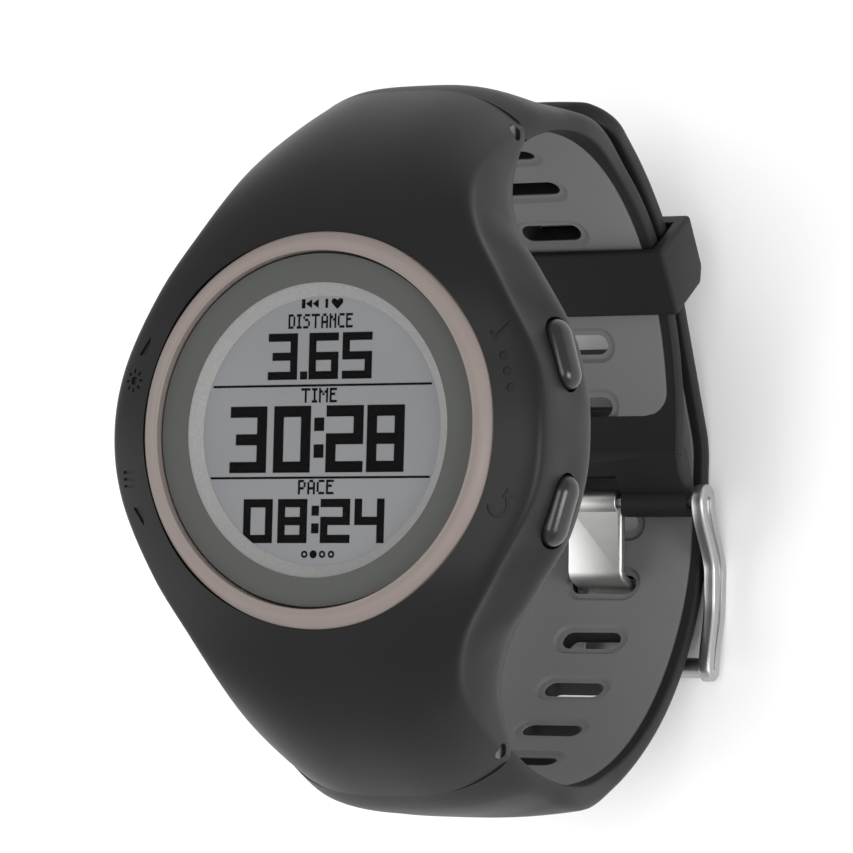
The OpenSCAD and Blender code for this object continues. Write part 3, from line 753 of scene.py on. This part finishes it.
def figure(mark, x, y, width, height, thick):
    """One seven-segment figure from non-overlapping strokes."""
    lit = LIT[mark]
    mid_low, mid_high = y + (height - thick) / 2, y + (height + thick) / 2
    right, top = x + width - thick, y + height - thick
    for row, low in (("a", top), ("g", mid_low), ("d", y)):
        if row in lit:
            short = row == "g" and "f" not in lit and "e" not in lit
            ink(x + thick * 0.6 * short, low, x + width, low + thick)
    for upper_mark, lower_mark, side in (("f", "e", x), ("b", "c", right)):
        if upper_mark in lit:
            ink(side, mid_high, side + thick, top)
        if lower_mark in lit:
            ink(side, y + thick, side + thick, mid_low)
        if "g" not in lit:
            ink(side, mid_low, side + thick, mid_high)
    if "a" not in lit:
        for low in (x, right):
            ink(low, top, low + thick, y + height)
    if "d" not in lit:
        ink(right, y, x + width, y + thick)


def row_of_figures(text, places, y, width, height, thick):
    for mark, x in zip(text, places):
        if mark == ".":
            ink(x, y, x + thick, y + thick)
        elif mark == ":":
            for share in (0.22, 0.62):
                ink(x, y + share * height, x + thick, y + share * height + thick * 1.2)
        else:
            figure(mark, x, y, width, height, thick)


row_of_figures("3.65", (-6.15, -2.5, -1.55, 2.2), 5.05, 3.3, 4.6, 0.8)
row_of_figures("30:28", (-10.25, -5.3, -0.75, 0.6, 5.15), -4.15, 4.15, 6.6, 1.1)
row_of_figures("08:24", (-8.5, -4.6, -0.8, 0.2, 4.0), -11.1, 3.3, 4.35, 0.82)

FONT = {
    "A": "0110 1001 1001 1111 1001 1001", "C": "0111 1000 1000 1000 1000 0111",
    "D": "1110 1001 1001 1001 1001 1110", "E": "1111 1000 1110 1000 1000 1111",
    "I": "111 010 010 010 010 111", "M": "10001 11011 10101 10001 10001 10001",
    "N": "1001 1101 1011 1001 1001 1001", "P": "1110 1001 1001 1110 1000 1000",
    "S": "0111 1000 0110 0001 0001 1110", "T": "11111 00100 00100 00100 00100 00100",
}


def label(word, middle, y, dot_width, dot_height):
    """A word in dots, each row of joined dots as one stroke."""
    glyphs = [FONT[mark].split() for mark in word]
    total = sum(len(glyph[0]) + 1 for glyph in glyphs) - 1
    x = middle - total * dot_width / 2
    for glyph in glyphs:
        for row, line in enumerate(glyph):
            low = y + (len(glyph) - 1 - row) * dot_height
            for i, lit in enumerate(line):
                if lit == "1":
                    ink(x + i * dot_width, low, x + (i + 1) * dot_width, low + dot_height)
        x += (len(glyph[0]) + 1) * dot_width


label("DISTANCE", -0.35, 10.1, 0.185, 0.24)
label("TIME", -0.3, 2.75, 0.2, 0.24)
label("PACE", -0.4, -6.3, 0.21, 0.24)
for y, left, right in ((4.45, -12.3, 12.2), (-4.65, -12.35, 12.2)):
    ink(left, y - 0.11, right, y + 0.11)
DOTS = ((-1.5, 0.36, False), (-0.5, 0.4, True), (0.5, 0.36, False), (1.5, 0.36, False))
BACK_BAR = [(-2.3, 12.1), (-1.9, 12.1), (-1.9, 13.0), (-2.3, 13.0)]
BACK_TIPS = [[(x, 12.55), (x + 0.7, 12.1), (x + 0.7, 13.0)] for x in (-1.85, -1.1)]
SHORT_BAR = [(0.35, 12.1), (0.65, 12.1), (0.65, 13.0), (0.35, 13.0)]
HEART = [
    (1.7, 11.95), (2.35, 12.6), (2.3, 12.95), (2.0, 13.05), (1.7, 12.85), (1.4, 13.05), (1.1, 12.95),
    (1.05, 12.6)
]
points, faces = [], []
for x0, y0, x1, y1 in ink_boxes:
    rows = [[(x0, y0, z), (x1, y0, z), (x1, y1, z), (x0, y1, z)] for z in (INK_LOW, INK_HIGH)]
    start = len(points)
    points += rows[0] + rows[1]
    faces += [tuple(start + i for i in face) for face in rings_to_faces(2, 4)]
for x, r, full in DOTS:
    start = len(points)
    lines = [dot(x, -12.2, r)] if full else [dot(x, -12.2, r), dot(x, -12.2, r * 0.45)]
    n = len(lines[0])
    for z in (INK_LOW, INK_HIGH):
        for line in lines:
            points += [(u, v, z) for u, v in line]
    if full:
        faces += [tuple(start + n + i for i in range(n))]
    else:
        for i in range(n):
            j = (i + 1) % n
            faces.append((start + 2 * n + i, start + 2 * n + j, start + 3 * n + j, start + 3 * n + i))
for shape in [BACK_BAR, *BACK_TIPS, SHORT_BAR, HEART]:
    start = len(points)
    points += [(x - 0.2, y, INK_HIGH) for x, y in shape]
    faces.append(tuple(start + i for i in range(len(shape))))
figures = as_object("display_figures", points, faces)
finish_piece(figures, "display_grey", "root", look="display_ink")

# %% [markdown]
# Each button is a domed pill with a stem that runs through the case wall to its switch. A steel
# clip inside holds the stem, and that clip stays as designed. The dome's edge is well rounded, so
# a fingertip finds it without looking.

# %% Buttons
STEM_END = -8.8
STEM, GROOVE = circle(0.8), circle(0.6)

for button, where in BUTTON_PLACES.items():
    layers = [
        (-2.3, pill_outline(BUTTON_L - 0.2, BUTTON_H - 0.2)), (-2.1, pill_outline(BUTTON_L, BUTTON_H))
    ]
    half = BUTTON_H / 2
    for i in range(17):
        inset = half * 0.97 * (i / 16) ** 1.6
        rise = math.sqrt(1 - (1 - inset / half) ** 2)
        layers.append((-0.35 + 1.3 * rise, pill_outline(BUTTON_L - 2 * inset, BUTTON_H - 2 * inset)))
    cap = button_stack("cap_" + button, where, layers)
    stem = button_stack("stem_" + button, where, [
        (STEM_END, circle(0.7)), (STEM_END + 0.1, STEM), (-8.36, STEM), (-8.35, GROOVE),
        (-7.85, GROOVE), (-7.84, STEM), (-2.2, STEM)
    ])
    combine(cap, [stem], "UNION")
    finish_piece(cap, "button_polymer", "button_" + button, ["button_" + button])

# %% [markdown]
# The strap halves follow the wrist. The upper half is an arc that carries the buckle. The lower
# half runs as arcs and straights: round the wrist, flat under the buckle, up beside the upper half
# and out to a tail that springs a little free past the keeper. Both start as thick as the case end
# and thin out, and their outer corners fade from the domed case end into a flat band.

# %% Strap paths
STRAP_HALF, LINING_HALF, LINING_T = 11.4, 10.2, 0.5
UPPER_C, UPPER_R, UPPER_T = (3.8, -31.8), 29.0, 2.6
LOWER_C, LOWER_R, LOWER_T = (-0.8, -35.4), 33.5, 2.4
TAIL_R = UPPER_R + UPPER_T + 0.3
UPPER_START = math.degrees(math.atan2(PIN_Z - UPPER_C[1], PIN_Y - UPPER_C[0]))
LOWER_START = math.degrees(math.atan2(PIN_Z - LOWER_C[1], -PIN_Y - LOWER_C[0]))
UPPER_END, HOLE_PITCH, TONGUE_Y = -94.0, 6.8, -12.45


def arc_length(radius, angle):
    return radius * math.radians(angle)


def flat_run():
    """Lengths and turns of the lower half, flat where the watch stands, and the tongue's place."""
    flat_z, end_y, lean, bend = -FACE_Z + LOWER_T, 1.5, 63.5, 6
    lean_sin, lean_cos = math.sin(math.radians(lean)), math.cos(math.radians(lean))
    tuck = (LOWER_C[1] - flat_z - LOWER_R * lean_sin) / (1 - lean_sin)
    tuck_y = LOWER_C[0] - (LOWER_R - tuck) * lean_cos
    reach, offset = UPPER_C[1] - flat_z - bend, UPPER_C[0] - end_y
    rise = math.degrees(
        math.acos((TAIL_R - bend) / math.hypot(reach, offset)) - math.atan(offset / reach)
    )
    straight = (
        UPPER_C[0] + (TAIL_R - bend) * math.sin(math.radians(rise)) - end_y
    ) / math.cos(math.radians(rise))
    first = 180 + lean - LOWER_START
    tongue_turn = math.degrees(math.acos((tuck_y - TONGUE_Y) / (tuck + LOWER_T / 2))) - lean
    runs = [
        (arc_length(LOWER_R, first), first), (arc_length(tuck, 90 - lean), 90 - lean),
        (end_y - tuck_y, 0), (arc_length(bend, rise), rise), (straight, 0),
        (arc_length(TAIL_R, 90 - 46 - rise), 90 - 46 - rise), (17.8, math.degrees(17.8 / 43)),
    ]
    return runs, runs[0][0] + arc_length(tuck, tongue_turn)


LOWER_RUNS, TONGUE_HOLE_S = flat_run()
LOWER_LEN = sum(length for length, _ in LOWER_RUNS)


def smooth(t):
    u = max(0.0, min(1.0, t))
    return u * u * (3 - 2 * u)


def lower_frame(s):
    """Point and heading, in degrees, at a length along the lower half's wrist face."""
    u, v = polar(LOWER_R, LOWER_START)
    y, z, heading = LOWER_C[0] + u, LOWER_C[1] + v, LOWER_START + 90
    for i, (length, turn_by) in enumerate(LOWER_RUNS):
        part = s if i == len(LOWER_RUNS) - 1 else min(s, length)
        h = math.radians(heading)
        if turn_by == 0:
            y, z = y + part * math.cos(h), z + part * math.sin(h)
        else:
            radius = length / math.radians(turn_by)
            end = h + math.radians(turn_by) * part / length
            y, z = y + radius * (math.sin(end) - math.sin(h)), z - radius * (math.cos(end) - math.cos(h))
            heading = math.degrees(end)
        s -= part
        if s <= 1e-9:
            break
    return y, z, heading


def upper_frame(angle):
    u, v = polar(UPPER_R, angle)
    return UPPER_C[0] + u, UPPER_C[1] + v, angle + 90


def upper_thick(angle):
    return UPPER_T + 1.3 * smooth((angle + 30) / 40) + 2.1 * smooth((angle - 2) / 21)


def lower_thick(s):
    return LOWER_T + 1.4 * smooth((38 - s) / 30) + 2.0 * smooth((14 - s) / 12)


def outwards(frame_here, t):
    y, z, heading = frame_here
    h = math.radians(heading)
    return y + t * math.sin(h), z - t * math.cos(h)


def half_width(z):
    """Full width at the case, narrower below."""
    return LUG_HALF + (STRAP_HALF - LUG_HALF) * smooth((-33 - z) / 14)


print("lower half is", round(LOWER_LEN, 1), "mm long")

# %% [markdown]
# A strap section has a flat wrist face and rounded edges. Close to the case its outer face follows
# the dome of the case end, which is carried on in a straight line until the band is lower than it.

# %% Strap sections
END = math.radians(FAN_END)
END_RIM, END_TOP = along_stations(FAN_END, 2), along_stations(FAN_END, 5)


def dome_limit(frame_here, x, side_y):
    """How thick the strap may be at x before it stands out of the case end's dome."""
    y, z, heading = frame_here
    h = math.radians(heading)
    radial = (side_y * math.sin(END), math.cos(END))
    height = END_RIM + (END_TOP - END_RIM) * (1 - min(1.0, abs(x) / LUG_HALF) ** 3.2)
    grow = math.sin(h) * radial[0] - math.cos(h) * radial[1]
    if grow < 0.2:
        return 99.0
    return (height - (y * radial[0] + (z - FAN_Z) * radial[1])) / grow


def soft_min(a, b, blend_over=0.5):
    """The smaller of two numbers, with a rounded change from one to the other."""
    gap = max(-1.0, min(1.0, (a - b) / blend_over))
    return min(a, b) - blend_over * 0.25 * (1 - abs(gap)) ** 2


def edge_drop(x, half, radius):
    over = max(0.0, abs(x) - (half - radius)) / radius
    return radius * (1 - math.sqrt(max(0.0, 1 - min(1.0, over) ** 2)))


OUTER_R, INNER_R = 0.9, 0.35
ACROSS = [-math.cos(math.pi * i / 40) for i in range(41)]


def strap_section(frame_here, thick, half, side_y, crown=0.3):
    """One closed section, from the wrist face round over the outer face."""
    ring = []
    for u in reversed(ACROSS):
        x = u * half
        ring.append((x, edge_drop(x, half, INNER_R)))
    for u in ACROSS:
        x = u * half
        t = thick - crown * abs(u) ** 3.2
        t = soft_min(t, dome_limit(frame_here, x, side_y)) if side_y else t
        ring.append((x, max(t - edge_drop(x, half, OUTER_R), INNER_R + 0.02)))
    return [(x, *outwards(frame_here, t)) for x, t in ring]


def butt_to_case(ring, side_y, gap=0.05):
    """Moves a section onto the plane of the case end, a hair away from it."""
    along = Vector((0, side_y * math.cos(END), -math.sin(END)))
    moved = []
    for p in ring:
        far = (Vector(p) - Vector((0, 0, FAN_Z))).dot(along) - gap
        moved.append(tuple(Vector(p) - far * along))
    return moved


def tip_half(s, end, half, corner):
    """Half width near a rounded end."""
    into = s - (end - corner)
    if into <= 0:
        return half
    return half - corner + math.sqrt(max(0.0, corner**2 - min(into, corner) ** 2))


EAR_END_A, EAR_END_S = UPPER_START - 4.6, 2.7
NECK_T = 3.4


def neck(name, frames, side_y):
    """Strap end round its pin, with the neck that joins it to the band."""
    near, far = frames
    outline = [outwards(near, 0), outwards(near, NECK_T), outwards(far, NECK_T), outwards(far, 0)]
    block = cross_slab(name, outline, EAR_IN - 0.2)
    return combine(block, [cross_rod("knuckle", side_y * PIN_Y, PIN_Z, KNUCKLE_R, EAR_IN - 0.2)], "UNION")


def band(name, count, at):
    """A strap band: `at` gives the section for a share of the way along."""
    return loft(name, [at(i / count) for i in range(count + 1)])


def upper_at(share):
    angle = EAR_END_A + (UPPER_END - EAR_END_A) * share
    here = upper_frame(angle)
    crown = 0.3 + 3.4 * smooth((angle + 20) / 43)
    ring = strap_section(here, upper_thick(angle), half_width(here[1]), 1, crown)
    return butt_to_case(ring, 1) if share == 0 else ring


def lower_at(share):
    s = EAR_END_S + (LOWER_LEN - EAR_END_S) * share
    here = lower_frame(s)
    half = tip_half(s, LOWER_LEN, half_width(here[1]), 5.5)
    thick = lower_thick(s) - edge_drop(s, LOWER_LEN, 1.2)
    crown = 0.3 + 3.2 * smooth((26 - s) / 24)
    ring = strap_section(here, thick, half, -1 if s < 40 else 0, crown)
    return butt_to_case(ring, -1) if share == 0 else ring


upper = band("strap_upper_smooth", 220, upper_at)
lower = band("strap_lower_smooth", 420, lower_at)
print("bands made")

# %% [markdown]
# The holes are pills, 6.8 mm apart. On the outside of the lower half each has a shallow pocket that
# leads the tongue in, and on the lining every hole lies in a wider shallow dish. The upper half
# folds round the buckle bar, with a gap in the middle for the tongue.

# %% Holes, linings and the fold round the bar
HOLE_W, HOLE_L, STRETCH = 7.0, 2.2, 0.8
BAR_Y, BAR_Z = -3.2, -65.0
TONGUE_HALF = 3.25
print("tongue hole at", round(TONGUE_HOLE_S, 3), "mm")


def hole_cutter(frame_here, layers):
    """A stack of pill outlines (length, width, thickness) along a frame's normal."""
    y, z, heading = frame_here
    h = math.radians(heading)
    rings = []
    for length, width, t in layers:
        oy, oz = outwards(frame_here, t)
        rings.append([
            (u, oy + v * math.cos(h), oz + v * math.sin(h)) for u, v in pill_outline(length, width)
        ])
    return loft("hole", rings)


def through(frame_here, thick=0.0, spread=0.0):
    """A hole; `spread` widens the one that the tongue stretches."""
    wide = HOLE_W + spread
    layers = [(wide, HOLE_L, -3)]
    if thick:
        layers += [
            (wide, HOLE_L, thick - 0.8), (HOLE_W + 0.8, HOLE_L + 1.2, thick - 0.7),
            (HOLE_W + 1.4, HOLE_L + 1.8, thick + 0.1), (HOLE_W + 2, HOLE_L + 2.4, thick + 0.8),
        ]
    else:
        layers.append((wide, HOLE_L, 6))
    return hole_cutter(frame_here, layers)


def dish(frame_here):
    return hole_cutter(frame_here, [
        (HOLE_W + 2.6, HOLE_L + 2.2, -0.4), (HOLE_W + 2, HOLE_L + 1.6, 0.05),
        (HOLE_W + 1.4, HOLE_L + 1.0, 0.34),
    ])


upper_holes = [
    upper_frame(-84 + k * math.degrees(HOLE_PITCH / UPPER_R)) for k in range(7)
]
lower_holes = [(k, lower_frame(TONGUE_HOLE_S + k * HOLE_PITCH)) for k in range(-6, 8)]


def lining_ring(frame_here, half, inner=0.03, outer=LINING_T):
    ring = []
    for u in reversed(ACROSS):
        x = u * half
        ring.append((x, inner + edge_drop(x, half, 0.22)))
    for u in ACROSS:
        ring.append((u * half, outer))
    return [(x, *outwards(frame_here, t)) for x, t in ring]


UPPER_LINING = (arc_length(UPPER_R, 8), arc_length(UPPER_R, UPPER_START + 86))
LOWER_LINING = (5.0, LOWER_LEN - 1.2)


def upper_at_length(s):
    return upper_frame(UPPER_START - math.degrees(s / UPPER_R))


def lining_band(name, frame_of, ends, corner_end, inner=0.03, grow=0.0, count=240):
    """A lining, or with inner below zero and some growth the recess that it lies in."""
    rings = []
    for i in range(count + 1):
        s = ends[0] + (ends[1] - ends[0]) * i / count
        half = min(
            tip_half(-s, -ends[0], LINING_HALF, 2.6), tip_half(s, ends[1], LINING_HALF, corner_end)
        )
        rings.append(lining_ring(frame_of(s), half + grow, inner))
    return loft(name, rings)


upper_lining = lining_band("lining_upper_smooth", upper_at_length, UPPER_LINING, 2.6)
lower_lining = lining_band("lining_lower_smooth", lower_frame, LOWER_LINING, 4.6, count=420)
combine(upper, [lining_band("recess", upper_at_length, UPPER_LINING, 2.6, -1.0, 0.05)])
combine(lower, [lining_band("recess", lower_frame, LOWER_LINING, 4.6, -1.0, 0.05, 420)])

fold = cross_slab("fold", [
    outwards(upper_frame(UPPER_END + 2), 0.1), outwards(upper_frame(UPPER_END), 0), (-0.4, -61.6),
    (BAR_Y + 0.9, BAR_Z + 1.5), (BAR_Y, BAR_Z), (BAR_Y + 1.2, BAR_Z - 1.2), (0.2, -64.9),
    outwards(upper_frame(UPPER_END + 2), UPPER_T - 0.1)
], STRAP_HALF - 0.1)
soften(fold, 0.3)
combine(upper, [
    fold, cross_rod("knuckle", BAR_Y, BAR_Z, 1.7, STRAP_HALF - 0.1),
    neck("neck", (upper_frame(UPPER_START), upper_frame(UPPER_START - 5.4)), 1)
], "UNION")
combine(lower, [neck("neck", (lower_frame(0), lower_frame(3.2)), -1)], "UNION")
combine(upper, [
    cross_rod("pin_way", PIN_Y, PIN_Z, 0.8, 20), cross_rod("bar_way", BAR_Y, BAR_Z, 0.8, 20),
    cross_slab("gap", [
        (BAR_Y - 3, BAR_Z - 3), (BAR_Y + 2.6, BAR_Z - 3),
        (BAR_Y + 2.6, BAR_Z + 3.5), (BAR_Y - 3, BAR_Z + 3.5)
    ], TONGUE_HALF + 0.35)
] + [through(here) for here in upper_holes])
combine(lower, [cross_rod("pin_way", -PIN_Y, PIN_Z, 0.8, 20)] + [
    through(here, LOWER_T if k >= 0 else 0, STRETCH if k == 0 else 0) for k, here in lower_holes
])
combine(upper_lining, [through(here) for here in upper_holes] + [dish(here) for here in upper_holes])
combine(lower_lining, [
    through(here, 0, STRETCH if k == 0 else 0) for k, here in lower_holes
] + [dish(here) for _, here in lower_holes])
for half_name, rubber, lining in (("upper", upper, upper_lining), ("lower", lower, lower_lining)):
    node_name = "strap_" + half_name
    finish_piece(rubber, "strap_rubber", "root", [node_name])
    finish_piece(lining, "lining_rubber", "root", [node_name + "_lining"])

# %% [markdown]
# The keeper is a loop of the same rubber with a square outside, one cut corner and a slightly
# loose inside. The buckle is cast steel: two side arms with a groove between two ridges, a round
# rod across their ends, and a bent plate for a tongue.

# %% Keeper
KEEPER_A, KEEPER_L, KEEPER_GAP = -55.5, 7.8, 0.35


def at_keeper(r, t):
    """Point at a radius and a distance along the strap, seen from the keeper's middle."""
    c, s = polar(1, KEEPER_A)
    return UPPER_C[0] + r * c - t * s, UPPER_C[1] + r * s + t * c


keeper = cross_slab("keeper_loop", [
    at_keeper(r, t) for r, t in (
        (27.6, -KEEPER_L / 2), (34.9, -KEEPER_L / 2), (36.2, -KEEPER_L / 2 + 1.6),
        (36.2, KEEPER_L / 2), (27.6, KEEPER_L / 2)
    )
], STRAP_HALF + 1.6)
soften(keeper, 0.45, 4, 30)
sector = [KEEPER_A + 16 * (i / 12 * 2 - 1) for i in range(13)]
opening = []
for radius, angles in (
    (UPPER_R - KEEPER_GAP, sector), (TAIL_R + LOWER_T + KEEPER_GAP, list(reversed(sector)))
):
    opening += [(UPPER_C[0] + u, UPPER_C[1] + v) for u, v in (polar(radius, a) for a in angles)]
combine(keeper, [cross_slab("way", opening, STRAP_HALF + KEEPER_GAP)])
finish_piece(keeper, "strap_rubber", "keeper", ["keeper"], math.radians(30))

# %% Buckle and tongue
CROSS_Y, CROSS_Z, CROSS_R = -21.2, -67.6, 1.1
ARM_IN, ARM_OUT = 12.0, 13.4


def arm_mid(t):
    return BAR_Z - 3.6 * smooth(t / 0.45) + 1.2 * smooth((t - 0.6) / 0.4)


def arm_half(t):
    return 1.85 - 0.35 * smooth(t)


def arm_edge(t, rise):
    return BAR_Y + (CROSS_Y - BAR_Y) * t, arm_mid(t) + rise


def arm_outline(grow=0.0, steps=40):
    """Waved outline of a side arm, with round ends, flat where it would pass the ground."""
    shares = [i / steps for i in range(steps + 1)]
    points = []
    for end, edge in ((1, 1), (0, -1)):
        points += [arm_edge(t, edge * (arm_half(t) + grow)) for t in shares[::edge]]
        y, z = arm_edge(end, 0)
        for i in range(1, 16):
            u, v = polar(arm_half(end) + grow, edge * 90 + 180 * i / 16)
            points.append((y + u, z + v))
    return [(y, max(z, -FACE_Z)) for y, z in points]


frame_piece = None
for side_x in (1, -1):
    inner, outer = side_x * ARM_IN, side_x * ARM_OUT
    arm = loft("arm", [[(x, y, z) for y, z in arm_outline()] for x in (inner, outer)])
    soften(arm, 0.3, 3)
    groove = loft("groove", [
        [(x, y, z) for y, z in arm_outline(-1.35)] for x in (outer - side_x * 0.28, outer + side_x)
    ])
    combine(arm, [groove])
    soften(arm, 0.12, 2)
    frame_piece = arm if frame_piece is None else combine(frame_piece, [arm], "UNION")
combine(frame_piece, [cross_rod("cross", CROSS_Y, CROSS_Z, CROSS_R, ARM_OUT - 0.5)], "UNION")
frame_piece.name = "buckle_frame_cast"
finish_piece(frame_piece, "steel_polished", "buckle", ["buckle_frame"])

tongue = cross_slab("tongue_plate", [
    (BAR_Y - 0.6, BAR_Z + 0.7), (-10.9, BAR_Z + 0.5), (-11.7, BAR_Z + 0.1), (-12.15, BAR_Z - 0.7),
    (-13.2, -69.0), (-14.2, -69.2), (CROSS_Y, CROSS_Z - CROSS_R - 0.1),
    (CROSS_Y - 1.2, CROSS_Z - CROSS_R - 0.1), (CROSS_Y - 1.2, -69.4), (CROSS_Y - 0.2, -69.65),
    (-14.0, -70.05), (-12.7, -69.9), (-12.2, -69.4), (-11.1, BAR_Z - 0.8), (-10.7, BAR_Z - 0.5),
    (BAR_Y - 0.6, BAR_Z - 0.5)
], TONGUE_HALF)
soften(tongue, 0.3, 3)
barrel = cross_rod("barrel", BAR_Y, BAR_Z, 1.35, TONGUE_HALF - 0.5, 96)
soften(barrel, 0.2, 3)
combine(tongue, [barrel], "UNION")
combine(tongue, [cross_rod("bar_way", BAR_Y, BAR_Z, 0.8, 20)])
finish_piece(tongue, "steel_brushed", "tongue", ["buckle_tongue"])

# %% [markdown]
# A plain pale floor, a large soft light overhead, one from the 3 o'clock side, one from the
# 9 o'clock side and a white surround: the light of a product table. The black case needs large
# lights, as their soft reflections are what shows its shape.

# %% Lights and floor
MIDDLE = Vector((0, 0, 0.045))


def soft_light(name, where, size, power):
    lamp = bpy.data.lights.new(name, "AREA")
    lamp.size = size
    lamp.energy = power
    thing = bpy.data.objects.new(name, lamp)
    bpy.context.scene.collection.objects.link(thing)
    thing.location = Vector(where)
    thing.rotation_mode = "QUATERNION"
    thing.rotation_quaternion = (Vector(where) - MIDDLE).to_track_quat("Z", "Y")


soft_light("key", (0.1, -0.05, 0.9), 0.5, 3.0)
soft_light("side", (0.75, -0.15, 0.35), 0.35, 3.4)
soft_light("left", (-0.7, -0.2, 0.45), 0.6, 1.9)
world = bpy.data.worlds.new("studio")
world.use_nodes = True
world.node_tree.nodes["Background"].inputs["Color"].default_value = (1, 1, 1, 1)
world.node_tree.nodes["Background"].inputs["Strength"].default_value = 0.7
bpy.context.scene.world = world
bpy.context.scene.view_settings.view_transform = "Standard"

floor = bpy.data.objects.new("floor", bpy.data.meshes.new("floor"))
floor.data.from_pydata([(-3, -3, 0), (3, -3, 0), (3, 3, 0), (-3, 3, 0)], [], [(0, 1, 2, 3)])
bpy.context.scene.collection.objects.link(floor)
pale, tree, shader = principled("pale_floor", {"Roughness": 0.9, "Specular IOR Level": 0.1})
cloud = noise(tree, spot(tree), 2.0)
plug(tree, shader.inputs["Base Color"], blend(tree, cloud, (0.95, 0.95, 0.95, 1), (0.97, 0.97, 0.97, 1)))
floor.data.materials.append(pale)
